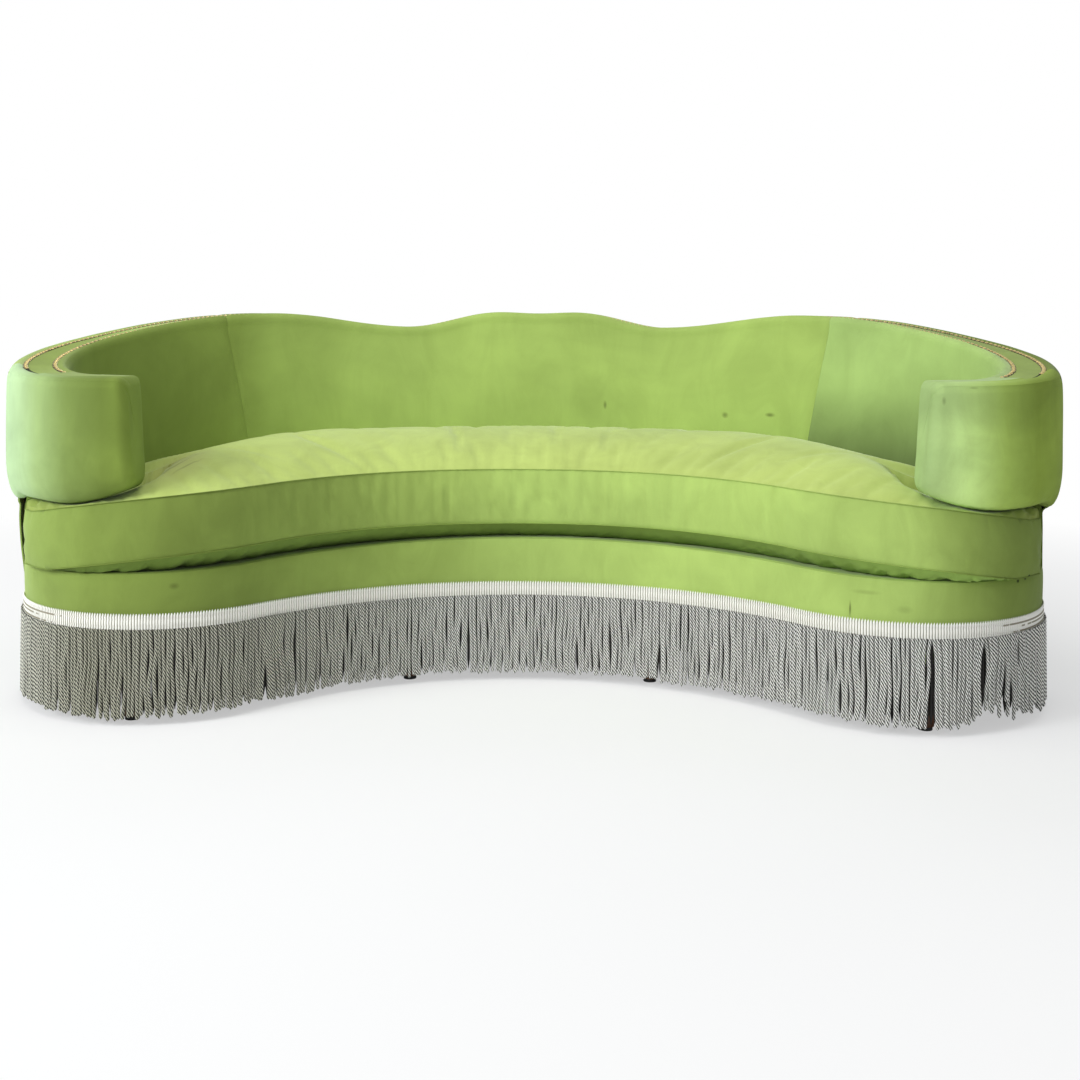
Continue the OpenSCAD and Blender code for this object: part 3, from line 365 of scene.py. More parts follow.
class Surface(Nodes):
    """A material with one Principled shader, and the parts that its colour and bumps are made from."""

    def __init__(self, name):
        self.material = bpy.data.materials.new(name)
        super().__init__(self.material)
        self.bsdf = self.add("BsdfPrincipled")
        self.link(self.bsdf, 0, self.add("OutputMaterial"), "Surface")
        self.coords = self.add("TexCoord")

    def mapped(self, scale=(1, 1, 1), rotation=(0, 0, 0)):
        return self.link(self.coords, "Object", self.add("Mapping", Scale=scale, Rotation=rotation), 0)

    def noise(self, scale, detail=3.0, rough=0.5, stretch=(1, 1, 1), rotation=(0, 0, 0), distortion=0.0):
        n = self.add("TexNoise", Scale=scale, Detail=detail, Roughness=rough, Distortion=distortion)
        return self.link(self.mapped(stretch, rotation), 0, n, "Vector")

    def ramp(self, source, socket, stops):
        r = self.add("ValToRGB")
        e = r.color_ramp.elements
        while len(e) < len(stops):
            e.new(0.5)
        for k, (at, color) in enumerate(stops):
            e[k].position = at
            e[k].color = (*color, 1)
        return self.link(source, socket, r, 0)

    def painted_shade_along_x(self, painted_shade):
        """Painted shade that changes along x, from stops of (x in metres, share, perhaps a share of blue)."""
        split = self.link(self.mapped(), 0, self.add("SeparateXYZ"), 0)
        place = self.add("MapRange", From_Min=-SHADE_REACH, From_Max=SHADE_REACH)
        self.link(split, "X", place, "Value")
        stops = [((x + SHADE_REACH) / (2 * SHADE_REACH), v, tint[0] if tint else 1.0) for x, v, *tint in painted_shade]
        return self.ramp(place, "Result", [(at, (v, v, v ** 1.35 * blue)) for at, v, blue in stops])

    def mix_color(self, factor, a, b, blend="MIX"):
        """Two colours mixed by a factor, each a plain value or (node, output)."""
        m = self.add("Mix", data_type="RGBA", blend_type=blend)
        for value, index in ((factor, 0), (a, 6), (b, 7)):
            if isinstance(value, tuple) and len(value) == 2:
                self.tree.links.new(value[0].outputs[value[1]], m.inputs[index])
            elif isinstance(value, (int, float)):
                m.inputs[index].default_value = value
            else:
                m.inputs[index].default_value = (*value, 1)
        return m

    def bump(self, *layers):
        """Bumps one on another, each (node, output, strength, distance in metres)."""
        last = None
        for node, output, strength, distance in layers:
            b = self.add("Bump", Strength=strength, Distance=distance)
            self.link(node, output, b, "Height")
            if last is not None:
                self.link(last, 0, b, "Normal")
            last = b
        self.link(last, 0, self.bsdf, "Normal")


def srgb(*rgb):
    """A colour as the eye sees it, 0 to 255, as the shader's light values."""
    return tuple(c / 12.92 if c <= 0.04045 else ((c + 0.055) / 1.055) ** 2.4 for c in (v / 255 for v in rgb))


def velvet(name, pile, seed=0.0, sheen=0.35, patchy=0.06, painted_shade=(), fall=(), marks=()):
    """Velvet: one pile colour brushed into soft patches, small rubs and a fine grain.

    painted_shade gives painted shade along x, as (x in metres, share), which dims the sheen with it, and fall
    gives painted shade up the height the same way;
    marks are spots as (place, half sizes, turn about the upright, strength, colour)."""
    m = Surface(name)
    patches = m.noise(1.9 + 0.1 * seed, 4, 0.55, (1, 1, 1.5), (seed, seed * 0.7, 0.3), 0.5)
    rubs = m.noise(9 + seed, 5, 0.62, (1, 1, 0.45), (0.2, seed, 0.4), 0.8)
    grain = m.noise(900, 2, 0.6)
    streaks = m.noise(60, 3, 0.6, (1, 1, 0.12), (0.1, 0.1, seed))
    deep = tuple(c * (1 - patchy) ** 2.2 for c in pile)
    light = tuple(min(1, c * (1 + patchy) ** 2.2) for c in pile)
    base = m.ramp(patches, "Fac", [(0.34, deep), (0.52, pile), (0.7, light)])
    rub = m.ramp(rubs, "Fac", [(0.36, (0.84, 0.84, 0.80)), (0.56, (1, 1, 1)), (0.75, (1.1, 1.1, 1.08))])
    mixed = m.mix_color(0.5, (base, 0), (rub, 0), "MULTIPLY")
    fine = m.ramp(grain, "Fac", [(0.3, (0.9, 0.9, 0.9)), (0.7, (1.07, 1.07, 1.07))])
    last = m.mix_color(0.35, (mixed, 2), (fine, 0), "MULTIPLY")
    # painted shade along x darkens the colour and dims the sheen with it
    if painted_shade:
        shade_along_x = m.painted_shade_along_x(painted_shade)
        last = m.mix_color(1.0, (last, 2), (shade_along_x, 0), "MULTIPLY")
        soft = m.add("Math", operation="MULTIPLY")
        soft.inputs[1].default_value = sheen
        m.wire((shade_along_x, 0, soft, 0), (soft, 0, m.bsdf, "Sheen Weight"))
    if fall:
        split = m.link(m.mapped(), 0, m.add("SeparateXYZ"), 0)
        shade = m.ramp(split, "Z", [(z, (v, v, v)) for z, v in fall])
        last = m.mix_color(1.0, (last, 2), (shade, 0), "MULTIPLY")
    # each mark, rub and painted shade alike, blends its colour in from its middle out
    for place, size, turn, share, ink in marks:
        local = m.add("Mapping", vector_type="TEXTURE", Location=place, Rotation=(0, 0, turn), Scale=size)
        away = m.add("VectorMath", operation="LENGTH")
        wear_and_shade = m.add("MapRange", From_Min=0.25, To_Min=share, To_Max=0.0)
        m.wire((m.coords, "Object", local, 0), (local, 0, away, 0), (away, "Value", wear_and_shade, "Value"))
        last = m.mix_color((wear_and_shade, 0), (last, 2), ink)
    m.link(last, 2, m.bsdf, "Base Color")
    for socket, value in (("Roughness", 0.85), ("Specular IOR Level", 0.15), ("Sheen Weight", sheen),
                          ("Sheen Roughness", 0.4), ("Sheen Tint", (0.86, 0.95, 0.78, 1))):
        m.bsdf.inputs[socket].default_value = value
    m.bump((grain, "Fac", 0.25, 0.0006), (streaks, "Fac", 0.12, 0.001), (rubs, "Fac", 0.2, 0.003))
    return m.material


# Painted shade along x, as velvet() takes it
ARM_SHADE_ALONG_X = [(-1.16, 0.88, 1.0), (-1.09, 0.72, 1.0), (-1.03, 0.51, 0.84), (-0.95, 0.33, 0.64),
           (-0.87, 0.29, 0.5), (-0.80, 0.39, 0.4), (0.8, 0.48, 0.9), (0.87, 0.98, 0.62), (0.91, 1.0, 0.55),
           (0.974, 0.76, 0.4), (1.06, 0.5, 0.32), (1.15, 0.45, 0.3)]
FRONT_SHADE_ALONG_X = [(-1.14, 0.85), (-1.04, 0.66), (-0.9, 0.5), (-0.7, 0.48), (-0.5, 0.63), (-0.22, 0.77),
             (0.0, 0.97), (0.4, 1.0), (0.78, 1.0), (0.9, 0.68), (1.0, 0.5), (1.12, 0.38)]
BACK_SHADE_ALONG_X = [(-1.1, 0.54), (-0.8, 0.56), (-0.7, 0.8), (-0.5, 0.9), (0.6, 0.95), (1.1, 0.98)]
PILE = srgb(177, 203, 110)
RUBBED, FOLD_SHADE, BROWN_SHADE, GAP_SHADE = srgb(72, 78, 34), srgb(104, 110, 44), srgb(172, 164, 100), srgb(26, 30, 12)
# Rubs, and painted shade in folds, in hollows and in tiny gaps, as velvet() takes them
BACK_MARKS = [((0.629, 0.231, 0.599), (0.014, 0.04, 0.007), 0, 0.6, RUBBED),
              ((0.517, 0.291, 0.594), (0.010, 0.04, 0.010), 0, 0.5, RUBBED),
              ((0.194, 0.394, 0.613), (0.006, 0.04, 0.014), 0, 0.5, RUBBED)]
# on the seat: a painted shadow in the pocket by the right arm, painted brownish shade beside the left arm and
# painted shade along its folds
SEAT_SHADE_MARKS = [((0.93, -0.02, 0.47), (0.15, 0.26, 0.06), 0, 0.7, srgb(92, 104, 42)),
              ((-0.79, -0.35, 0.50), (0.10, 0.20, 0.10), 0.1, 0.55, BROWN_SHADE),
              ((-0.818, -0.36, 0.50), (0.008, 0.12, 0.08), 0.02, 0.75, FOLD_SHADE),
              ((-0.796, -0.40, 0.50), (0.006, 0.09, 0.08), -0.14, 0.7, FOLD_SHADE),
              ((-0.770, -0.41, 0.50), (0.006, 0.08, 0.08), -0.28, 0.6, FOLD_SHADE),
              ((-0.742, -0.42, 0.51), (0.005, 0.06, 0.08), -0.42, 0.5, FOLD_SHADE)]
# painted shade in three tiny gaps among the wrinkles at the cushion's right corner
GAP_SHADE_SPOTS = [((1.0275, -0.4904, 0.3062), (0.005, 0.012, 0.005), 0, 1.0, GAP_SHADE),
                ((1.049, -0.4712, 0.3088), (0.005, 0.012, 0.005), 0, 1.0, GAP_SHADE),
                ((1.0511, -0.488, 0.3164), (0.005, 0.012, 0.005), 0, 1.0, GAP_SHADE)]
BORDER_MARKS = [((0.703, -0.531, 0.288), (0.035, 0.04, 0.006), 0, 0.2, RUBBED),
                ((0.777, -0.552, 0.257), (0.018, 0.04, 0.010), 0, 0.2, RUBBED),
                ((-0.733, -0.542, 0.288), (0.012, 0.04, 0.008), 0, 0.45, RUBBED),
                ((0.674, -0.515, 0.250), (0.0026, 0.03, 0.020), 0, 0.7, RUBBED)]
ARM_MARKS = [((0.8415, -0.594, 0.687), (0.005, 0.03, 0.010), 0, 0.35, RUBBED),
             ((0.905, -0.60, 0.713), (0.014, 0.03, 0.003), 0, 0.5, RUBBED)]
# the velvets given a table along x are darkened there by painted shade
V_MID = velvet("velvet_back", PILE, 0.0, painted_shade=BACK_SHADE_ALONG_X, marks=BACK_MARKS)
# the left inside arm: the same pile, darkened by painted shade along x
V_LEFT_INSIDE_SHADED = velvet("velvet_left_inside_arm", PILE, 1.0, painted_shade=BACK_SHADE_ALONG_X)
# the right inside arm: a paler, bluer pile as painted cool light, and painted shade towards the bottom
V_RIGHT_PAINTED_COOL_LIGHT = velvet("velvet_right_inside_arm_painted_light", srgb(172, 200, 120), 2.0, painted_shade=BACK_SHADE_ALONG_X,
                fall=[(0.48, 0.36), (0.57, 0.62), (0.68, 0.93), (0.8, 1.0)])
# the seat: a paler pile as painted light on its top, and painted shade at both ends under the arms
V_SEAT = velvet("velvet_seat", srgb(190, 208, 116), 3.0, 0.4, marks=SEAT_SHADE_MARKS,
                painted_shade=[(-1.15, 0.62), (-1.0, 0.7), (-0.86, 0.92), (-0.7, 1.0), (0.9, 1.0), (1.0, 0.66),
                     (1.1, 0.5)])
# painted shade along the cushion's underside, deepest at the left
UNDER_SHADE_ALONG_X = [(-1.1, 0.15), (-1.0, 0.22), (-0.88, 0.6), (-0.4, 0.62), (0.0, 0.62), (0.5, 0.72), (0.9, 1.0),
             (1.1, 0.9)]
V_FRONT = velvet("velvet_front", PILE, 4.0, painted_shade=FRONT_SHADE_ALONG_X, marks=BORDER_MARKS + GAP_SHADE_SPOTS)
V_SEAM = velvet("velvet_seam", srgb(156, 180, 92), 4.0, 0.2, painted_shade=FRONT_SHADE_ALONG_X)
# the cushion's underside: a darker pile as painted shade on a face turned down
V_UNDERSIDE_SHADE = velvet("velvet_underside_painted_shade", srgb(142, 172, 84), 8.0, 0.1, painted_shade=UNDER_SHADE_ALONG_X, marks=GAP_SHADE_SPOTS)
# near-black velvet as painted shade, behind the fringe and under the nails
V_PAINTED_SHADE = velvet("velvet_painted_shade", srgb(34, 40, 18), 9.0, 0.03)
# the arm fronts: a pale mint pile as a painted sheen highlight, with deep painted shade along x
V_ARM_PAINTED_SHEEN = velvet("velvet_arm_front_painted_sheen", srgb(204, 236, 186), 5.0, 0.12, 0.09, painted_shade=ARM_SHADE_ALONG_X, marks=ARM_MARKS)
V_BAND = velvet("velvet_band", srgb(176, 200, 108), 6.0, 0.2,
                painted_shade=[(-1.2, 0.42), (-1.08, 0.56), (-0.95, 0.85), (-0.5, 1.0), (0.8, 0.9), (1.05, 0.68)])
V_OUT = velvet("velvet_outside", PILE, 7.0, painted_shade=FRONT_SHADE_ALONG_X)


def plain(name, color, rough, metal=0.0, spots=0.15, scale=60.0, bump=0.2, distance=0.0008, stretch=(1, 1, 1),
          painted_shade=()):
    """A simple procedural surface: a mottled colour with a matching bump; painted_shade as for velvet."""
    m = Surface(name)
    n = m.noise(scale, 4, 0.6, stretch)
    low = tuple(c * (1 - spots) for c in color)
    high = tuple(min(1, c * (1 + spots)) for c in color)
    r = m.ramp(n, "Fac", [(0.3, low), (0.7, high)])
    if painted_shade:
        m.link(m.mix_color(1.0, (r, 0), (m.painted_shade_along_x(painted_shade), 0), "MULTIPLY"), 2, m.bsdf, "Base Color")
    else:
        m.link(r, 0, m.bsdf, "Base Color")
    m.bsdf.inputs["Roughness"].default_value = rough
    m.bsdf.inputs["Metallic"].default_value = metal
    m.bump((n, "Fac", bump, distance))
    return m.material


BRASS = plain("antique_brass", srgb(184, 166, 108), 0.22, 1.0, 0.3, 300, 0.1, 0.0003)
# painted shade in a dark collar round each nail head
NAIL_COLLAR_SHADE = plain("nail_collar_painted_shade", srgb(66, 54, 30), 0.5, 0.5, 0.3, 300, 0.1, 0.0003)
# painted shade on the fringe's cream yarn towards the left
YARN_SHADE_ALONG_X = [(-1.15, 0.78), (-0.9, 0.54), (-0.6, 0.72), (-0.2, 1.0), (1.15, 1.0)]
CREAM = plain("cream_yarn", srgb(254, 252, 243), 0.85, 0, 0.08, 1500, 0.4, 0.0004, (1, 1, 0.2), YARN_SHADE_ALONG_X)
HEADER = plain("header_yarn", srgb(250, 248, 240), 0.85, 0, 0.06, 1500, 0.4, 0.0004, (1, 1, 0.2))
# charcoal yarn made darker as painted shade between the cords; it also colours the painted shade row behind
# them
CHARCOAL_AND_SHADE = plain("charcoal_yarn_and_shade", srgb(16, 14, 12), 0.85, 0, 0.2, 1500, 0.4, 0.0004, (1, 1, 0.2))
THREAD = plain("header_ground", srgb(150, 144, 124), 0.9, 0, 0.15, 1500, 0.4, 0.0004)
WOOD = plain("frame_wood", srgb(196, 160, 116), 0.6, 0, 0.18, 14, 0.15, 0.0008, (1, 1, 8))
LEG = plain("leg_wood", srgb(92, 58, 34), 0.4, 0, 0.25, 20, 0.1, 0.0005, (1, 1, 0.15))
STEEL = plain("spring_steel", srgb(160, 160, 158), 0.35, 1.0, 0.1, 200, 0.05, 0.0003)
BURLAP = plain("burlap", srgb(176, 148, 108), 0.9, 0, 0.3, 700, 0.6, 0.001)
WEBBING = plain("webbing", srgb(148, 120, 86), 0.85, 0, 0.25, 500, 0.5, 0.0008)
DUST = plain("dust_cloth", srgb(42, 42, 42), 0.95, 0, 0.2, 400, 0.5, 0.0006)
GLIDE = plain("glide_plastic", srgb(48, 48, 48), 0.5, 0, 0.1, 200, 0.1, 0.0002)
ZIP_TAPE = plain("zip_tape", srgb(74, 88, 44), 0.8, 0, 0.2, 900, 0.5, 0.0005)
ZIP_METAL = plain("zip_metal", srgb(178, 178, 176), 0.3, 1.0, 0.1, 300, 0.05, 0.0002)
NODE_MATERIALS = {
    WOOD: ["front_rail", "back_rail", "side_rails", "seat_stretchers", "corner_blocks", "back_posts",
           "arm_posts", "lower_back_rail", "crest_board", "arm_front_boards", "arm_front_blocks"],
    LEG: ["feet"], STEEL: ["sinuous_springs", "spring_clips", "foot_plates"], BURLAP: ["deck_burlap"],
    WEBBING: ["back_webbing"], GLIDE: ["foot_glides"], ZIP_METAL: ["zip_slider"], ZIP_TAPE: ["cushion_zip"],
}
for material, names in NODE_MATERIALS.items():
    for n in names:
        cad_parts[n].data.materials.clear()
        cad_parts[n].data.materials.append(material)


# The world: soft light on the sofa, plain white to the eye
world = bpy.data.worlds.new("world")
scene.world = world
sky = Nodes(world)
ray = sky.add("LightPath")
soft_light = sky.add("Background", Color=(0.93, 0.96, 1.0, 1), Strength=0.4)
white = sky.add("Background", Color=(1, 1, 1, 1), Strength=1.0)
either, seen = (sky.add("Math", operation="MAXIMUM") for _ in range(2))
pick = sky.add("MixShader")
sky.wire((ray, "Is Camera Ray", either, 0), (ray, "Is Glossy Ray", either, 1), (either, 0, seen, 0),
         (ray, "Is Transmission Ray", seen, 1), (seen, 0, pick, 0), (soft_light, 0, pick, 1),
         (white, 0, pick, 2), (pick, 0, sky.add("OutputWorld"), 0))


# The wall's covers
def outer_profile(c, n=34, full=0.0):
    """Offsets and heights of the outer face at crest height c, from under the nails down to the base.

    full swells the part under the arm."""
    out, nail = -PAD_OUT, OUTER_NAIL_T
    line = catmull([(nail, c - 5), (nail - 5, c - 4.4), (nail - 9, c - 1.6), (nail - 14, c),
                    (nail - 21, c - 1.4), (out + 11, c - 7), (out + 4, c - 18), (out + 0.8, c - 36),
                    (out, c - 70), (out, mix(c, UNDER_Z, 0.5)), (out, UNDER_Z + 120), (out + 1, UNDER_Z + 84),
                    (out + 5, UNDER_Z + 54), (out + 13, UNDER_Z + 30), (out + 25, UNDER_Z + 11),
                    (-3 - full, UNDER_Z + 3), (0.5 - full, UNDER_Z - 4)], 6)
    low = catmull([(0.6 - full, UNDER_Z - 10), (-full, 395), (-0.75 * full, 340), (-0.3 * full, 285),
                   (0, HEADER_Z + 15), (0, LEG_H + 1)], 4)
    return np.concatenate([resample(line, n * 2), low])


def inner_profile(u, n=56):
    """The same for the inner face, from under the inner nails down to the deck."""
    c, ts = float(crest(u)), float(seat_t(u))
    x = wall_pt(u, ts, 0)[0] * 1000
    zt, zf = c - 34, 470
    t = INNER_TOP_T
    line = catmull([(60, c - 5), (66, c - 4.2), (71, c - 1.4), (77, c), (83.5, c - 2.4), (88.5, c - 9),
                    (91, c - 19), (t, zt), (mix(t, ts, 0.3) + 3, mix(zt, zf, 0.3)),
                    (mix(t, ts, 0.62) + 4, mix(zt, zf, 0.62)),
                    (mix(t, ts, 0.88) + 2, mix(zt, zf, 0.88)), (ts, zf - 10), (ts, float(deck_at(x)) + 2)], 6)
    return resample(line, n)


def seam_share(u):
    """1 at the covers' seams, falling to nothing at the middle of the back and at the arms' front ends."""
    v = np.abs(u)
    return np.where(v < SEAM_AT, v / SEAM_AT, (WALL_LEN - v) / (WALL_LEN - SEAM_AT))


def on_wall(us, profile, slant=0.0):
    """A grid on the wall; with a slant its stations drift towards the back's middle on their way down."""
    rows = []
    for u in us:
        r = profile(u)
        start, end = r[0, 1] - 40, 480
        down = np.clip((start - r[:, 1]) / (start - end), 0, 1)
        rows.append(wall_pt(u - math.copysign(slant, u) * seam_share(u) * down, r[:, 0], r[:, 1]))
    return np.stack(rows)


def puffed(grid, amount, size, seed, keep=3):
    """Lets the cover swell and dip a little along its normal, but not at its rims."""
    n = grid_normals(grid)
    w = waves(grid, size, seed) * 0.7 + waves(grid, size * 0.4, seed + 1) * 0.3
    j = np.arange(grid.shape[1])
    fade = np.minimum(1, np.minimum(j, j[::-1]) / keep)
    return grid + n * (w * amount * fade)[..., None]


def with_seam(grid, us, away, depth, width=7.0):
    """A sewn seam: the cover, which looks towards away, dips along the stations of its seams."""
    d = depth * np.exp(-((np.abs(us) - SEAM_AT) / width) ** 2)
    return grid - side_of(grid, away) * d[:, None, None] * grid_normals(grid)


def inside_cover(us, away):
    """An inside cover's face, its seams shifted along to where the photo has them."""
    shifted = us - SEAM_SHIFT * seam_share(us)
    return with_seam(puffed(on_wall(shifted, inner_profile, SEAM_SLANT), *INSIDE_SWELL), us, away, DIP)


def outside_cover(us, away, full=0.0):
    """An outside cover's face; full swells its lower part more and more along the arm."""
    def profile(u):
        return outer_profile(float(crest(u)), full=full * float(ease((abs(u) - SEAM_AT) / 500)))

    return with_seam(puffed(on_wall(us, profile), *OUTSIDE_SWELL), us, away, 0.002)


# How far a cover swells and dips, over what distance, both in metres, and the seed of its waves
INSIDE_SWELL, OUTSIDE_SWELL = (0.0016, 0.16, 1), (0.0018, 0.2, 5)
SEAM_SHIFT = 26
SIDE_FULL = {"right": 1.5, "left": 13}
SIDES = ((1, "right", V_RIGHT_PAINTED_COOL_LIGHT), (-1, "left", V_LEFT_INSIDE_SHADED))
back_us, arm_us = np.linspace(-SEAM_AT, SEAM_AT, 241), np.linspace(SEAM_AT + 0.3, WALL_LEN, 81)
FRONTWARDS, BACKWARDS = [0, -1, 0], [0, 1, 0]
inside_back = skin_of("inside_back_cover_velvet", inside_cover(back_us, FRONTWARDS), FRONTWARDS, [V_MID],
                      ["inside_back_cover", "back_foam"])
for side, name, velvets in SIDES:
    inwards = [-side, 0, 0]
    skin_of(f"{name}_inside_arm_cover_velvet", inside_cover(side * arm_us, inwards), inwards, [velvets],
            [f"{name}_inside_arm_cover", f"{name}_arm_foam"])
skin_of("outside_back_cover_velvet", outside_cover(back_us, BACKWARDS), BACKWARDS, [V_OUT],
        ["outside_back_cover", "outside_padding"])
for side, name, _ in SIDES:
    outwards = [side, 0, 0]
    g = outside_cover(side * arm_us, outwards, SIDE_FULL[name])
    skin_of(f"{name}_outside_arm_cover_velvet", g, outwards, [V_OUT], [f"{name}_outside_arm_cover"])


# Arm fronts
# Ends of the two nail rows, given round the corner in degrees, and of the band between them
OUTER_END_A, INNER_END_A = 30, 44
OUTER_END, INNER_END = (BACK_LEN + CORNER_R * (JOIN_A + a) / DEG for a in (OUTER_END_A, INNER_END_A))
BAND_END = INNER_END + 10


def leaned(u, z, c):
    """Stations moved back towards the top, where the arm front leans."""
    return u - END_LEAN * np.clip((z - 455) / (c - 455), 0, 1) * ease((u - ARM_FRONT_AT + 250) / 250)


def arm_section(u):
    """The closed section of an arm front at station u: rows of (offset, height).

    The slot for the band fades out past the inner nails, where the top becomes one smooth crown with a seam
    along its front edge."""
    c = float(crest(u))
    ti = float(mix(seat_t(WALL_LEN) - 6, INNER_TOP_T - 4, ease((u - WALL_LEN) / 180)))
    tt = min(ti, float(mix(INNER_TOP_T, INNER_TOP_T - 4, ease((u - WALL_LEN) / 180))))
    low = 515
    slot = float(1 - ease((u - BAND_END + 6) / 30))
    crisp = float(ease((u - WALL_LEN) / 120))
    out, nail = -PAD_OUT, OUTER_NAIL_T
    top_front = [(nail, c - mix(0.6, 5, slot)), (nail - 5, c - mix(2.4, 4.4, slot)),
                 (nail - 9, c - mix(1.2, 1.6, slot)), (nail - 14, c), (nail - 21, c - 1.4),
                 (out + mix(11, 8, crisp), c - mix(7, 4, crisp)),
                 (out + mix(4, 2.4, crisp), c - mix(18, 11, crisp)),
                 (out + mix(0.8, 0.3, crisp), c - mix(36, 25, crisp)), (out, c - 70), (out, mix(c, low, 0.6))]
    under = [(out, low + 34), (out + 1, low + 8), (out + 5, low - 17), (out + 12, low - 37),
             (out + 23, low - 51), (out + 38, low - 58), (8, low - 60), (ti - 34, low - 60),
             (ti - 18, low - 55), (ti - 7, low - 42), (ti - 1, low - 20), (ti, low + 8)]
    inside = [(mix(tt, ti, 0.5), mix(c, low, 0.5)), (tt, c - 38), (tt - 1, c - 19), (tt - 3.5, c - 9),
              (tt - 8.5, c - 2.4), (77, c), (71, c - mix(0.2, 1.4, slot)), (66, c - mix(0, 4.2, slot)),
              (60, c - mix(0, 5, slot))]
    floor_z = c - mix(-0.4, 8, slot)
    outline = resample(catmull(top_front + under + inside, 5), 110)
    return np.concatenate([outline, np.linspace((56, floor_z), (nail + 5, floor_z), 8)])


def arm_ring(u, d=0.0, on=0.0):
    """The section at u in place; the rounded end has it drawn in by d and moved on along the arm."""
    sec = arm_section(u)
    mid = (sec.min(0) + sec.max(0)) / 2
    sec = mid + (sec - mid) * (1 - d / (np.ptp(sec, axis=0) / 2))
    z = sec[:, 1]
    p = wall_pt(leaned(u + on, z, float(crest(u))), sec[:, 0], z)
    # the lower part follows the underside, which rises and falls along the arm
    p[:, 2] += (arm_under(np.abs(p[:, 0]) * 1000) - LID_Z) * np.clip((575 - z) / 120, 0, 1) / 1000
    return p


END_R = 23
GATHER = {"right": 0.0045, "left": 0.0016}
front_us = np.linspace(WALL_LEN + 0.4, ARM_LEN - END_R, 60)
round_end = [math.radians(e) for e in (9, 18, 28, 38, 49, 60, 72, 84)]
for side, name, inside_velvet in SIDES:
    rings = [arm_ring(u) for u in front_us]
    rings += [arm_ring(ARM_LEN - END_R, END_R * (1 - math.cos(e)) * 0.96, END_R * math.sin(e))
              for e in round_end]
    rings += [mix(rings[-1], rings[-1].mean(0), f) for f in (0.2, 0.45, 0.7, 0.9)]
    g = np.stack(rings)
    n = grid_normals(np.concatenate([g, g[:, :1]], 1))[:, :-1]
    n_out = np.sign(np.dot(n[20, 40], g[20, 40] - g[20].mean(0)))
    ripple = waves(g, 0.13, 9 + side) * 0.0016 + waves(g, 0.05, 12 + side) * 0.0005
    fade = np.clip(np.arange(len(g)) / 4, 0, 1)[:, None]
    g = g + n * (ripple * fade)[..., None]
    # puckers where the cover is gathered under its lower edge
    gather = np.exp(-((g[..., 2] - 0.468) / 0.016) ** 2) * np.abs(waves(g, 0.02, 70 + side))
    g = g - n * n_out * (gather * fade * GATHER[name])[..., None]
    # the sewn seam along the top front edge
    crease = np.argmin(np.abs(g[5, :, 2] * 1000 - ARM_Z + 3) + 5 * (np.arange(g.shape[1]) > 30))
    g[:, crease] -= n[:, crease] * (DIP * n_out)
    g[..., 0] *= side
    nr, nm = g.shape[:2]
    tip, last = nr * nm, (nr - 1) * nm
    verts = np.concatenate([g.reshape(-1, 3), [g[-1].mean(0), g[0].mean(0)]])
    faces = [tuple(f) for f in grid_faces(nr, nm, wrap_m=True)]
    faces += [(tip, last + (j + 1) % nm, last + j) for j in range(nm)]
    faces += [(tip + 1, j, (j + 1) % nm) for j in range(nm)]
    if side < 0:
        faces = [f[::-1] for f in faces]
    o = make(f"{name}_arm_front_velvet", verts, faces, [V_ARM_PAINTED_SHEEN, inside_velvet],
             replaces=[f"{name}_arm_front_cover", f"{name}_arm_front_foam"])
    # the inside cover wraps over the top as far as the seam along the front edge
    section = np.stack([arm_section(u) for u in front_us])
    wrap = (section[..., 0] > 62) & (section[..., 1] > 560)
    wrap |= (section[..., 0] > 10) & (section[..., 1] > ARM_Z - 12) & (front_us > BAND_END - 15)[:, None]
    shades = np.zeros(len(o.data.polygons), np.int32)
    shades[:len(front_us) * nm] = wrap.ravel()
    o.data.polygons.foreach_set("material_index", shades)

# Band and nails
band_us = np.linspace(-BAND_END, BAND_END, 420)
band_t = np.linspace(OUTER_NAIL_T + 5, INNER_NAIL_T - 5, 12)
band_t = np.concatenate([[OUTER_NAIL_T - 4.6], band_t, [INNER_NAIL_T + 4.6]])
bu, bt = np.meshgrid(band_us, band_t, indexing="ij")
g = wall_pt(bu, bt, crest(bu) - SINK + 0.5 * np.sin((bt - band_t[0]) / np.ptp(band_t) * np.pi))
g = puffed(g, 0.0006, 0.09, 20, 2)
band = skin_of("crest_band_velvet", g, [0, 0, 1], [V_BAND, V_PAINTED_SHADE], ["crest_band"], 0.002)
# painted shade: dark strips under the nails, at the band's two edges
side_strip = np.arange(2 * (len(band_us) - 1) * (len(band_t) - 1)) % (len(band_t) - 1)
shades = np.zeros(len(band.data.polygons), np.int32)
shades[:len(side_strip)] = (side_strip == 0) | (side_strip == len(band_t) - 2)
band.data.polygons.foreach_set("material_index", shades)


def nail_places(t, reach, pitch=13.2):
    """Stations of the nails along a row at offset t, close on the back and wider apart round the arms."""
    us = np.linspace(-reach, reach, 6001)
    p = wall_pt(us, t, crest(us))
    wider = 1 + 0.55 * ease((np.abs(us[1:]) - 1450) / 350)
    d = np.concatenate([[0], np.cumsum(np.linalg.norm(np.diff(p, axis=0), axis=1) / wider)]) * 1000
    n = int(d[-1] / pitch)
    return np.interp(np.linspace(0, d[-1], n + 1), d, us)


# A nail head's rings, as (radius, height) in millimetres: a dark collar of painted shade round the head, then
# the dome
NAIL_RINGS = [(6.3, 0.0), (6.2, 0.6), (4.7, 1.1), (3.0, 3.2), (1.2, 3.9)]
NAIL_SIDES, NAIL_TOP = 12, 3.8


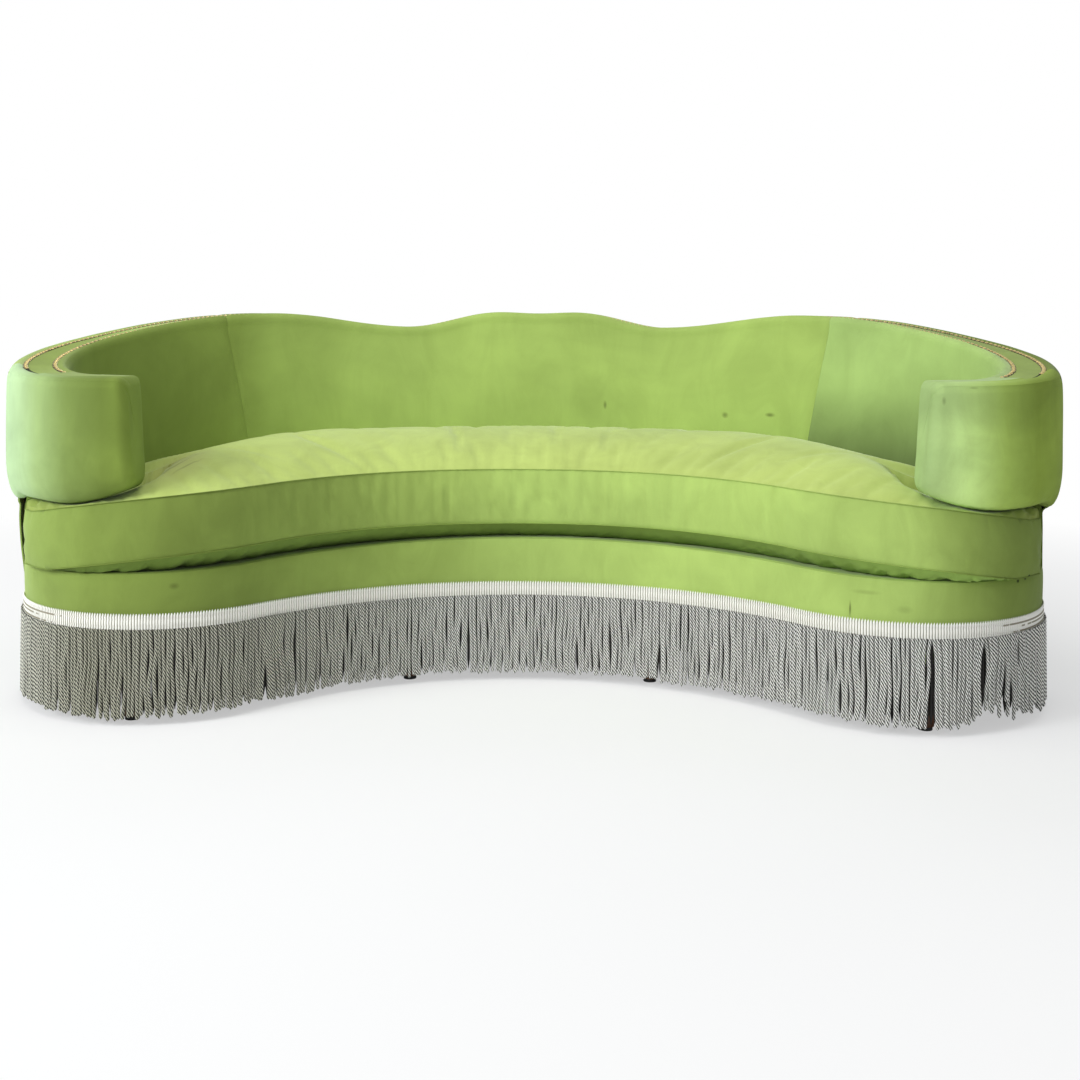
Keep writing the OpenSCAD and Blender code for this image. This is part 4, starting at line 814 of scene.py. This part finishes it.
def nails(name, t, reach, replaces, seed):
    """A row of nail heads at offset t, each set a little out of line and out of true."""
    count = len(NAIL_RINGS) * NAIL_SIDES
    last = count - NAIL_SIDES
    one = [f[::-1] for f in grid_faces(len(NAIL_RINGS), NAIL_SIDES, wrap_m=True).tolist()]
    one += [(last + k, last + (k + 1) % NAIL_SIDES, count) for k in range(NAIL_SIDES)]
    one.append(tuple(reversed(range(NAIL_SIDES))))
    paint = [1] * (2 * NAIL_SIDES) + [0] * (3 * NAIL_SIDES) + [1]
    verts, faces = [], []
    places = nail_places(t, reach)
    for i, u in enumerate(places):
        base = Vector(wall_pt(u, t + (hashed(i, seed) - 0.5) * 0.7, crest(u) - SINK + 0.3))
        slope = (crest(u + 5) - crest(u - 5)) / 10
        along = unit(wall_pt(u + 1, t, 0) - wall_pt(u - 1, t, 0))
        tangent = Vector((along[0], along[1], float(slope))).normalized()
        up = (Vector((0, 0, 1)) - tangent * tangent.z).normalized()
        up = Matrix.Rotation((hashed(i, seed + 1) - 0.5) * 0.16, 3, tangent) @ up
        side = up.cross(tangent)
        faces += [tuple(k + len(verts) for k in f) for f in one]
        for r, h in NAIL_RINGS:
            for a in (2 * math.pi * k / NAIL_SIDES for k in range(NAIL_SIDES)):
                spoke = tangent * math.cos(a) + side * math.sin(a)
                verts.append(base + spoke * (r / 1000) + up * (h / 1000))
        verts.append(base + up * (NAIL_TOP / 1000))
    me = bpy.data.meshes.new(name)
    me.from_pydata(verts, [], faces)
    me.update()
    me.shade_smooth()
    me.set_sharp_from_angle(angle=math.radians(60))
    show(name, me, [BRASS, NAIL_COLLAR_SHADE], replaces=replaces)
    me.polygons.foreach_set("material_index", paint * len(places))


nails("outer_nail_row", OUTER_NAIL_T, OUTER_END, ["outer_nail_trim"], 1)
nails("inner_nail_row", INNER_NAIL_T, INNER_END, ["inner_nail_trim"], 5)


# The base line, for the border and the fringe
def ring_points(step):
    """Points and outward normals round the whole base, in millimetres, as (x, y, nx, ny, distance).

    They start at the middle of the back and go clockwise, seen from above."""
    points = []
    for centre, r, start, end, out in (((0, BACK_Y), BACK_R, 90, JOIN_A, 1),
                                       (C, CORNER_R, JOIN_A, FRONT_A - 180, 1),
                                       (A, FRONT_R, FRONT_A, 180 - FRONT_A, -1),
                                       ((-C[0], C[1]), CORNER_R, 360 - FRONT_A, 180 - JOIN_A, 1),
                                       ((0, BACK_Y), BACK_R, 180 - JOIN_A, 90, 1)):
        n = max(2, int(abs(end - start) / DEG * r / step))
        for a in (math.radians(mix(start, end, k / n)) for k in range(n)):
            x, y = math.cos(a), math.sin(a)
            points.append((centre[0] + r * x, centre[1] + r * y, out * x, out * y))
    p = np.array(points)
    d = np.concatenate([[0], np.cumsum(np.linalg.norm(np.diff(p[:, :2], axis=0), axis=1))])
    return np.concatenate([p, d[:, None]], 1)


RING = ring_points(4)
RING_LEN = RING[-1, 4]


def ring_at(d, out, z):
    """A point at distance d round the base, out outside its line, at height z."""
    x, y, nx, ny = (np.interp(np.mod(d, RING_LEN), RING[:, 4], RING[:, k]) for k in range(4))
    n = np.hypot(nx, ny)
    return metres(np.stack([x + out * nx / n, y + out * ny / n, z * np.ones_like(x)], -1))


# Front border, from one side wall's front end round to the other
rows = []
for d in np.linspace(WALL_LEN, RING_LEN - WALL_LEN, 360):
    top = float(deck_at(ring_at(d, 0, 0)[0] * 1000))
    line = catmull([(-6, top + 0.5), (-1.5, top - 0.5), (1.5, top - 6), (2.6, top - 20),
                    (2.4, mix(top, HEADER_Z, 0.5)), (1.2, HEADER_Z + 10), (0.2, HEADER_Z - 4),
                    (0, LEG_H + 2)], 6)
    line = resample(line, 34)
    rows.append(ring_at(np.full(len(line), d), line[:, 0], line[:, 1]))
g = puffed(np.stack(rows), 0.0014, 0.12, 30)
border = skin_of("front_border_velvet", g, FRONTWARDS, [V_FRONT, V_PAINTED_SHADE],
                 ["front_border_cover", "front_border_padding"])
# painted shade behind the fringe, but for a strip that a parted place lets light onto
for face in border.data.polygons:
    x, y, z = face.center
    lit = abs(x - 0.83) < 0.02 and y < 0 and z > 0.15
    if z < (HEADER_Z - HEADER_H) / 1000 and not lit:
        face.material_index = 1

# Fringe header
# Ribs run up it, each of four steps: how far each step stands out, and how far its edge loops rise and drop
RIB_PITCH, RIB_OUT, LOOP = 5.9, (0.6, 0.3, -1.0, -0.2), (3.2, 0.8, -3.0, 0.2)
# Lengthwise threads show at the two ends of the front: the row of faces, and beyond which x in metres
END_THREADS = ((7, 0.99), (5, 1.05), (2, 1.02))
head_n = 4 * int(RING_LEN / RIB_PITCH)
head_ds = np.arange(head_n) * RING_LEN / head_n
profile = [(0.5, -HEADER_H - 1), (3.4, -HEADER_H), (4.4, -29), (2.6, -25.5), (4.0, -21), (3.8, -13),
           (2.6, -8.5), (4.4, -5), (2.6, 0)]
line = resample(catmull(profile, 5), 11)
upper, lower = line[:, 1] > -4, line[:, 1] < 3 - HEADER_H
rows, inner = [], []
for i, d in enumerate(head_ds):
    at = np.full(len(line), d)
    z = HEADER_Z + line[:, 1] + LOOP[i % 4] * upper - LOOP[i % 4] * lower
    rows.append(ring_at(at, line[:, 0] + RIB_OUT[i % 4], z))
    inner.append(ring_at(at, np.full(len(line), 0.4), HEADER_Z + line[:, 1] - 4.5 * upper))
g = np.stack(rows)
verts, faces = shell(g, np.stack(inner), wrap=True)
faces = facing_out(verts, faces)
header = make("fringe_header_tape", verts, faces, [HEADER, THREAD],
              replaces=["fringe_header"])
column, row = np.divmod(np.arange(head_n * (len(line) - 1)), len(line) - 1)
end_x = (np.abs(g[:, 0, 0]) + 0.02 * np.sin(np.arange(head_n) * 1.9))[column]
dark = np.zeros(len(faces), np.int32)
dark[:len(column)] = column % 4 == 2
for at_row, beyond in END_THREADS:
    dark[:len(column)] |= (row == at_row) & (end_x > beyond)
header.data.polygons.foreach_set("material_index", dark)


# Fringe cords
CORD_PITCH, CORD_R, LAY = 8.6, 4.0, 33.0
# Section of a cord: four pale strands with dark threads between them, made darker as painted shade in the
# grooves, as (angle, radius share)
STRAND = [(0, 0.82), (24, 0.94), (45, 1.0), (66, 0.94)]
SECTION = [(math.radians(a + quarter), r) for quarter in (0, 90, 180, 270) for a, r in STRAND]
DARK = [k % 4 in (0, 3) for k in range(len(SECTION))]
# Places where the fringe has parted: distance round the base, push to each side, and the shares of the drop
# where it opens and where it closes
PARTED = [(2006, 4.2, 0.02, 2.0), (1893, 5.2, 0.05, 2.0), (1821, 4.0, 0.5, 2.0), (1801, 3.4, 0.02, 0.45)]
# Near this place, within about this radius, the cords are worn loose
LOOSE_X, LOOSE_Y, LOOSE_R = 1000, -510, 110
CORD_STEP, TIP_AT, SHADOW_OUT, SHADOW_SHORTER = 2.4, 0.975, 1.2, 9


def cord_groups(count):
    """Tufts of 3 to 9 cords that lean together: for each cord its tuft, and each tuft's middle."""
    tuft, middles, i, g = [], [], 0, 0
    while i < count:
        n = min(count - i, 3 + int(hashed(g, 90) * 6.99))
        tuft += [g] * n
        middles.append(i + (n - 1) / 2)
        i, g = i + n, g + 1
    return tuft, middles


def cord_mesh(name, chosen, tuft, middles, replaces=(), behind=False):
    """Twisted cords for the chosen places, or behind them a plain dark row of painted shade that closes their
    gaps.
    """
    verts, faces, marks, count = [], [], [], 0
    sides = len(SECTION)
    ang, share = np.array(SECTION).T
    paint = np.array([1] * sides if behind else DARK, np.int32)
    for i in chosen:
        g = tuft[i]
        d = (i + (1.0 if behind else 0.5)) * RING_LEN / cord_n + (hashed(i, 40) - 0.5) * 2.0
        x, y = ring_at(d, 0, 0)[:2] * 1000
        loose = 1 + 5 * math.exp(-((x - LOOSE_X) ** 2 + (y - LOOSE_Y) ** 2) / LOOSE_R ** 2)
        top = HEADER_Z - HEADER_H + 3
        low = FRINGE_GAP + 2 + hashed(i, 41) * 8 + 3 * math.sin(d / 47) * math.sin(d / 131)
        low += 6 * (hashed(g, 42) - 0.4) + 9 * (loose - 1) * hashed(i, 49)
        n = 8 if behind else int((top - low) / CORD_STEP)
        f = np.linspace(0, 1, n + 1)
        z = top + (low - top) * f
        pull = (middles[g] - i) * CORD_PITCH * (0.02 + 0.09 * hashed(g, 43)) * min(loose, 2.0)
        tilt = (hashed(g, 44) - 0.5) * 2.6 * loose + (hashed(i, 45) - 0.5) * 1.8
        bow = (hashed(g, 46) - 0.5) * 2 + (hashed(i, 47) - 0.5) * 1.4
        wave = np.sin(f * (5 + 5 * hashed(i, 53)) + 6.3 * hashed(i, 54)) * (0.5 + 1.3 * hashed(i, 55))
        shared = np.sin(f * (4 + 3 * hashed(g, 56)) + 6.3 * hashed(g, 57)) * 2.2 * hashed(g, 58)
        dd = d + (pull + tilt) * f ** 1.5 + bow * np.sin(np.pi * f) + (wave + shared) * np.minimum(1, 3 * f)
        for at, push, opens, closes in PARTED:
            part = np.clip((f - opens) / 0.15, 0, 1) * np.clip((closes - f) / 0.1, 0, 1)
            dd = dd + np.sign(d - at) * push * math.exp(-((d - at) / 24) ** 2) * part
        out = 5.4 + (hashed(g, 48) * 3.2 - 0.6) * f + (hashed(i, 50) - 0.5) * 3.2 * (0.3 + 0.7 * f)
        if behind:
            out, dd = np.full(n + 1, SHADOW_OUT), np.full(n + 1, d)
            z = top + (low + SHADOW_SHORTER - top) * f
        centre = ring_at(dd, out, z) * 1000
        turn = hashed(i, 51) * 2 * math.pi - (0 if behind else 2 * math.pi) * (top - z) / LAY
        tip = np.sqrt(np.clip(1 - (np.maximum(f - TIP_AT, 0) / (1 - TIP_AT)) ** 2, 0.03, 1))
        tangent = unit(np.gradient(centre, axis=0))
        e1 = unit(np.cross((ring_at(d, 1, 0) - ring_at(d, 0, 0)) * 1000, tangent))
        e2 = np.cross(tangent, e1)
        a = turn[:, None] + ang[None, :]
        r = CORD_R * tip[:, None] * share[None, :] * (0.9 + 0.18 * hashed(i, 52))
        across = e1[:, None] * (r * np.cos(a))[..., None] + e2[:, None] * (r * np.sin(a))[..., None]
        verts.append((centre[:, None] + across).reshape(-1, 3))
        verts.append(centre[-1:] - [[0, 0, 1.0]])
        k, last, end = np.arange(sides), count + n * sides, count + (n + 1) * sides
        faces.append(grid_faces(n + 1, sides, wrap_m=True, start=count))
        faces.append(np.stack([last + k, last + (k + 1) % sides, np.full(sides, end)], -1))
        marks.append(np.tile(paint, n + 1))
        count = end + 1
    verts = np.concatenate(verts) / 1000
    sizes = np.concatenate([np.full(len(q), q.shape[1]) for q in faces])
    flat = np.concatenate([q.ravel() for q in faces])
    me = bpy.data.meshes.new(name)
    me.vertices.add(len(verts))
    me.vertices.foreach_set("co", verts.astype(np.float32).ravel())
    me.loops.add(len(flat))
    me.loops.foreach_set("vertex_index", flat.astype(np.int32))
    me.polygons.add(len(sizes))
    me.polygons.foreach_set("loop_start", np.concatenate([[0], np.cumsum(sizes)[:-1]]).astype(np.int32))
    me.update(calc_edges=True)
    me.shade_smooth()
    show(name, me, [CREAM, CHARCOAL_AND_SHADE], replaces=replaces)
    me.polygons.foreach_set("material_index", np.concatenate(marks).astype(np.int32))


cord_n = int(RING_LEN / CORD_PITCH)
tuft, middles = cord_groups(cord_n)
PARTS = 13
for part in range(PARTS):
    chosen = range(part * cord_n // PARTS, (part + 1) * cord_n // PARTS)
    cord_mesh(f"fringe_cords_{part + 1}", chosen, tuft, middles, ["fringe_cords"] if part == 0 else ())
cord_mesh("fringe_shadow_cords", range(cord_n), tuft, middles, behind=True)

# Seat cushion
SEAM_Z, SEAM_DROP, BOXING_H, RIDGE_Z, RIDGE_END_Z = 497.0, 57.0, 126.0, 562.0, 492.0
CUSHION_OUT, CUSHION_GAP, TRAVEL = 15.0, 10.0, 150.0
POCKET_ROOM, HELD_X, BACK_HALF_Y = 60.0, 790.0, 500.0
LOBE_A = math.degrees(math.acos((LOBE_X - C[0]) / (CORNER_R + CUSHION_OUT)))
TUB_X = C[0] + CORNER_R - SEAT_ARM_T - CUSHION_GAP


def arc_pts(c, r, a0, a1, n):
    a = np.radians(np.linspace(a0, a1, n + 1))
    return np.stack([c[0] + r * np.cos(a), c[1] + r * np.sin(a)], -1)


def on_corner(a, r):
    """The point at angle a, downwards, on a circle round the corner's centre."""
    return C + r * np.array([math.cos(a / DEG), -math.sin(a / DEG)])


front_main = resample(np.concatenate([arc_pts(A, FRONT_R - CUSHION_OUT, 90, FRONT_A, 40),
                                      arc_pts(C, CORNER_R + CUSHION_OUT, FRONT_A - 177, -79, 30)]), 12)
front_key = np.concatenate([front_main, [on_corner(a, CORNER_R + CUSHION_OUT) for a in (70, 61, 51, LOBE_A)]])
WALL_END = on_corner(WALL_END_A, CORNER_R)
LOBE_BACK_Y = WALL_END[1] - SKIN - 2
rear_main = resample(np.concatenate([arc_pts((0, SEAT_Y), SEAT_R - CUSHION_GAP, 90, SEAT_JOIN_A, 60),
                                     arc_pts(C, CORNER_R - SEAT_ARM_T - CUSHION_GAP, SEAT_JOIN_A - 3, 0, 12),
                                     [[TUB_X, WALL_END[1] + 50]]]), 12)
rear_corner = [[TUB_X + 2, WALL_END[1] + 31], [mix(TUB_X, LOBE_X, 0.5), WALL_END[1] + 13],
               [LOBE_X - 8, LOBE_BACK_Y + 1], [LOBE_X, LOBE_BACK_Y - 10]]
rear_key = np.concatenate([rear_main, rear_corner])
PER = 9
front_line, rear_line = (catmull(np.concatenate([key[:0:-1] * [-1, 1], key]), PER)
                         for key in (front_key, rear_key))
NU, NV = len(front_line) - 1, 60
# stations from the front to the rear, closer together near both
v = np.arange(NV + 1) / NV
v = mix(ease(v), v, 0.45)
plan = front_line[:, None, :] * (1 - v)[None, :, None] + rear_line[:, None, :] * v[None, :, None]


def seam_z(x):
    """Height of the cushion's upper seam: level in the middle and falling faster towards the two lobes."""
    return SEAM_Z - SEAM_DROP * (np.minimum(np.abs(x), 1060) / 1019) ** 3.3


def pocket_y(x):
    """How far back the arm fronts reach over the lobes, with the cushion's travel added."""
    r, d = CORNER_R - INNER_TOP_T, np.maximum(0, np.abs(x) - C[0])
    return C[1] - np.sqrt(np.maximum(0, r * r - d * d)) + TRAVEL + POCKET_ROOM


px, py = plan[..., 0], plan[..., 1]
sz = seam_z(px)
ridge = mix(RIDGE_Z, RIDGE_END_Z, ease((np.abs(px) - 520) / 480))
full = sz + (ridge - sz) * (1 - np.abs(2 * v - 1) ** 2.4)
cap = lid(px) - 4 + np.maximum(0, py - pocket_y(px)) * 1.1
blend = 7.0
# the lower of the two, blended smoothly, and never under the seam
rise = -blend * np.log(np.exp(-(full - sz) / blend) + np.exp(-np.maximum(cap - sz, 0) / blend))
top = np.maximum(rise, 0) + sz
low = np.maximum(deck_at(px) + 1.2, sz - BOXING_H - 60 * (1 - np.abs(2 * v - 1) ** 8))
top_grid = metres(np.stack([px, py, top], -1))
low_grid = metres(np.stack([px, py, low], -1))


# The rim's grid places (i, j): along the front, up the right end, back along the rear, down the left end
rim = ([(i, 0) for i in range(NU)] + [(NU, j) for j in range(NV)] + [(i, NV) for i in range(NU, 0, -1)]
       + [(0, j) for j in range(NV, 0, -1)])
ROWS = 10
ring_top = np.array([top_grid[i, j] for i, j in rim])
ring_low = np.array([low_grid[i, j] for i, j in rim])
tan = (np.roll(ring_top, -1, 0) - np.roll(ring_top, 1, 0))[:, :2]
outward = unit(tan[:, ::-1] * [1, -1])
box_rows = []
for r in range(1, ROWS):
    f = r / ROWS
    p = mix(ring_top, ring_low, f)
    p[:, :2] += outward * 0.005 * math.sin(math.pi * f)
    box_rows.append(p)
n_top = (NU + 1) * (NV + 1)
verts = np.concatenate([top_grid.reshape(-1, 3), low_grid.reshape(-1, 3)] + box_rows)
top_id = np.array([i * (NV + 1) + j for i, j in rim])
K = len(rim)
loops = [top_id] + [2 * n_top + r * K + np.arange(K) for r in range(ROWS - 1)] + [top_id + n_top]
faces = [grid_faces(NU + 1, NV + 1), grid_faces(NU + 1, NV + 1, start=n_top)[:, ::-1]]
for a, b in zip(loops[:-1], loops[1:]):
    faces.append(np.stack([a, b, np.roll(b, -1), np.roll(a, -1)], -1))
faces = facing_out(verts, np.concatenate(faces))
n_panel = NU * NV
cushion = make("seat_cushion_velvet", verts, faces, [V_SEAT, V_FRONT, V_UNDERSIDE_SHADE], CUSHION, smooth=50,
               replaces=["cushion_top_panel", "cushion_bottom_panel", "cushion_boxing", "cushion_zip_strips",
                         "cushion_core"])
# the bottom panel takes the underside's painted shade
index = np.ones(len(faces), np.int32)
index[:n_panel] = 0
index[n_panel:2 * n_panel] = 2
cushion.data.polygons.foreach_set("material_index", index)
pinned = np.zeros(len(verts))
pinned[loops[0]] = pinned[loops[-1]] = 1
start_points = verts.copy()


def clear_of_sofa(p):
    """Holds the cushion under the arm fronts' undersides, on the deck and off the walls."""
    x = p[:, 0] * 1000
    y = p[:, 1] * 1000 - Y_SHIFT
    under_arm = (np.abs(x) > HELD_X) & (y < pocket_y(x) - POCKET_ROOM)
    p[:, 2] = np.where(under_arm, np.minimum(p[:, 2], (lid(x) - 2) / 1000), p[:, 2])
    p[:, 2] = np.maximum(p[:, 2], (deck_at(x) + 0.8) / 1000)
    farthest = start_points[:, 1] + 0.006
    at_back = start_points[:, 1] * 1000 - Y_SHIFT > BACK_HALF_Y
    p[:, 1] = np.where((p[:, 1] > farthest) & at_back, farthest, p[:, 1])
    return p


inflate(cushion, pinned, cap=0.026, pressure=3.0, shrink=-0.015, limit=clear_of_sofa)

# stitches pull the cover in: both edges pucker and the underside gathers, more so towards the right
p = np.empty(len(verts) * 3, np.float32)
cushion.data.vertices.foreach_get("co", p)
p = p.reshape(-1, 3)
FOLD_PERIOD = 38
along = np.arange(NU + 1)
run = np.concatenate([[0], np.cumsum(np.linalg.norm(np.diff(front_line, axis=0), axis=1))])
more = ease((front_line[:, 0] - 200) / 600)
for j, amount in ((1, 0.0018), (2, 0.0012), (3, 0.0005)):
    ids = along * (NV + 1) + j
    p[ids, 2] -= amount * np.abs(waves(p[ids], 0.016, 60))
for j in range(1, 7):
    ids = n_top + along * (NV + 1) + j
    fold = np.sin(2 * np.pi * (run / FOLD_PERIOD + j * 0.3) + 2.5 * waves(p[ids], 0.06, 61))
    fold += 0.6 * waves(p[ids], 0.02, 62)
    p[ids[:NU], :2] += outward[:NU] * ((0.0009 + 0.0024 * more) * fold * math.sin(math.pi * j / 7))[:NU, None]
for r, amount in ((0, 0.0016), (1, 0.0009), (ROWS - 3, 0.0009), (ROWS - 2, 0.0016)):
    ids = 2 * n_top + r * K + along[:NU]
    p[ids, :2] -= outward[:NU] * (amount * np.abs(waves(p[ids], 0.016, 63 + r)))[:, None]
cushion.data.vertices.foreach_set("co", p.ravel())
cushion.data.update()


def seam_cord(name, line, radius):
    """A thin sewn lip along a closed line of points."""
    t = unit(np.roll(line, -1, 0) - np.roll(line, 1, 0))
    side = unit(np.cross(t, [0, 0, 1.0]))
    up = np.cross(side, t)
    rings = [line + (side * math.cos(a) + up * math.sin(a)) * radius for a in np.arange(6) * math.pi / 3]
    verts = np.stack(rings, 1).reshape(-1, 3)
    faces = grid_faces(len(line), 6, wrap_n=True, wrap_m=True)
    make(name, verts, facing_out(verts, faces), [V_SEAM], CUSHION)


for name, loop in (("cushion_upper_seam", loops[0]), ("cushion_lower_seam", loops[-1])):
    line = p[loop] + np.concatenate([outward * 0.0008, np.zeros((K, 1))], 1)
    seam_cord(name, resample(line, 3 * K)[:-1], 0.0013)

# Deck cover, end panels and dust cover
def flat_between(front_t, rear_t, n, m):
    """A grid of plan points from the front outline to the wall's line, both moved in by their offsets."""
    front = ring_at(np.linspace(RING_LEN - WALL_LEN, WALL_LEN, n + 1), -front_t, 0)[:, :2]
    rear = wall_pt(np.linspace(-WALL_LEN, WALL_LEN, n + 1), rear_t, 0)[:, :2]
    f = np.linspace(0, 1, m + 1)[None, :, None]
    g = front[:, None] * (1 - f) + rear[:, None] * f
    return np.stack([g[..., 0] * 1000, g[..., 1] * 1000 - Y_SHIFT], -1)


g = flat_between(4, 62, 160, 50)
deck_top = metres(np.concatenate([g, (deck_at(g[..., 0]) - 0.2)[..., None]], -1))
deck_top[..., 2] += waves(deck_top, 0.2, 50) * 0.0006
verts, faces = shell(deck_top, deck_top - np.array([0, 0, 0.012]))
deck = make("deck_cover_velvet", verts, facing_out(verts, faces), [V_FRONT],
            replaces=["deck_cover", "deck_pad"])
g = flat_between(6, 6, 120, 30)
sag = -1.5 - 2.5 * np.abs(waves(np.concatenate([g, 0 * g[..., :1]], -1) / 1000, 0.3, 51))
dust_low = metres(np.concatenate([g, (LEG_H + sag)[..., None]], -1))
verts, faces = shell(dust_low + np.array([0, 0, 0.0009]), dust_low)
dust = make("dust_cover_cloth", verts, facing_out(verts, faces), [DUST],
            replaces=["dust_cover"])

# the panel that closes each side wall's front end, behind the cushion's lobe
for side, name, _ in SIDES:
    rows = []
    for t in np.linspace(float(seat_t(WALL_LEN)) - 3, 1.5, 16):
        x = wall_pt(WALL_LEN + 1, t, 0)[0] * 1000
        zs = np.linspace(float(deck_at(x)) + 1, float(arm_under(x)) + 6, 20)
        rows.append(wall_pt(WALL_LEN + 1.2, t, zs))
    g = np.stack(rows)
    g = g + grid_normals(g) * (0.0012 * np.sin(np.linspace(0, np.pi, 16)))[:, None, None]
    g[..., 0] *= side
    skin_of(f"{name}_wall_end_velvet", g, [0, -side, 0], [V_OUT], [], 0.0025)

# Floor
FLOOR_HALF = 40
me = bpy.data.meshes.new("floor")
corners = [(x * FLOOR_HALF, y * FLOOR_HALF, 0) for x, y in ((-1, -1), (1, -1), (1, 1), (-1, 1))]
me.from_pydata(corners, [], [(0, 1, 2, 3)])
floor = bpy.data.objects.new("floor", me)
scene.collection.objects.link(floor)
# near the sofa the floor takes its shadow; far away it is plain white to the eye
# its shadow is lightened to the eye, as in a photograph cut out on white
floor_material = bpy.data.materials.new("floor")
ground = Nodes(floor_material)
pale = ground.add("BsdfDiffuse", Color=(0.9, 0.9, 0.9, 1))
glow = ground.add("Emission", Strength=1.0)
place, far = ground.add("TexCoord"), ground.add("VectorMath", operation="LENGTH")
fade = ground.add("MapRange", From_Min=1.3, From_Max=3.2, To_Min=0.5)
share, pick = ground.add("Math", operation="MULTIPLY"), ground.add("MixShader")
ground.wire((place, "Object", far, 0), (far, "Value", fade, "Value"), (fade, "Result", share, 0),
            (ground.add("LightPath"), "Is Camera Ray", share, 1), (share, 0, pick, 0), (pale, 0, pick, 1),
            (glow, 0, pick, 2), (pick, 0, ground.add("OutputMaterial"), 0))
me.materials.append(floor_material)
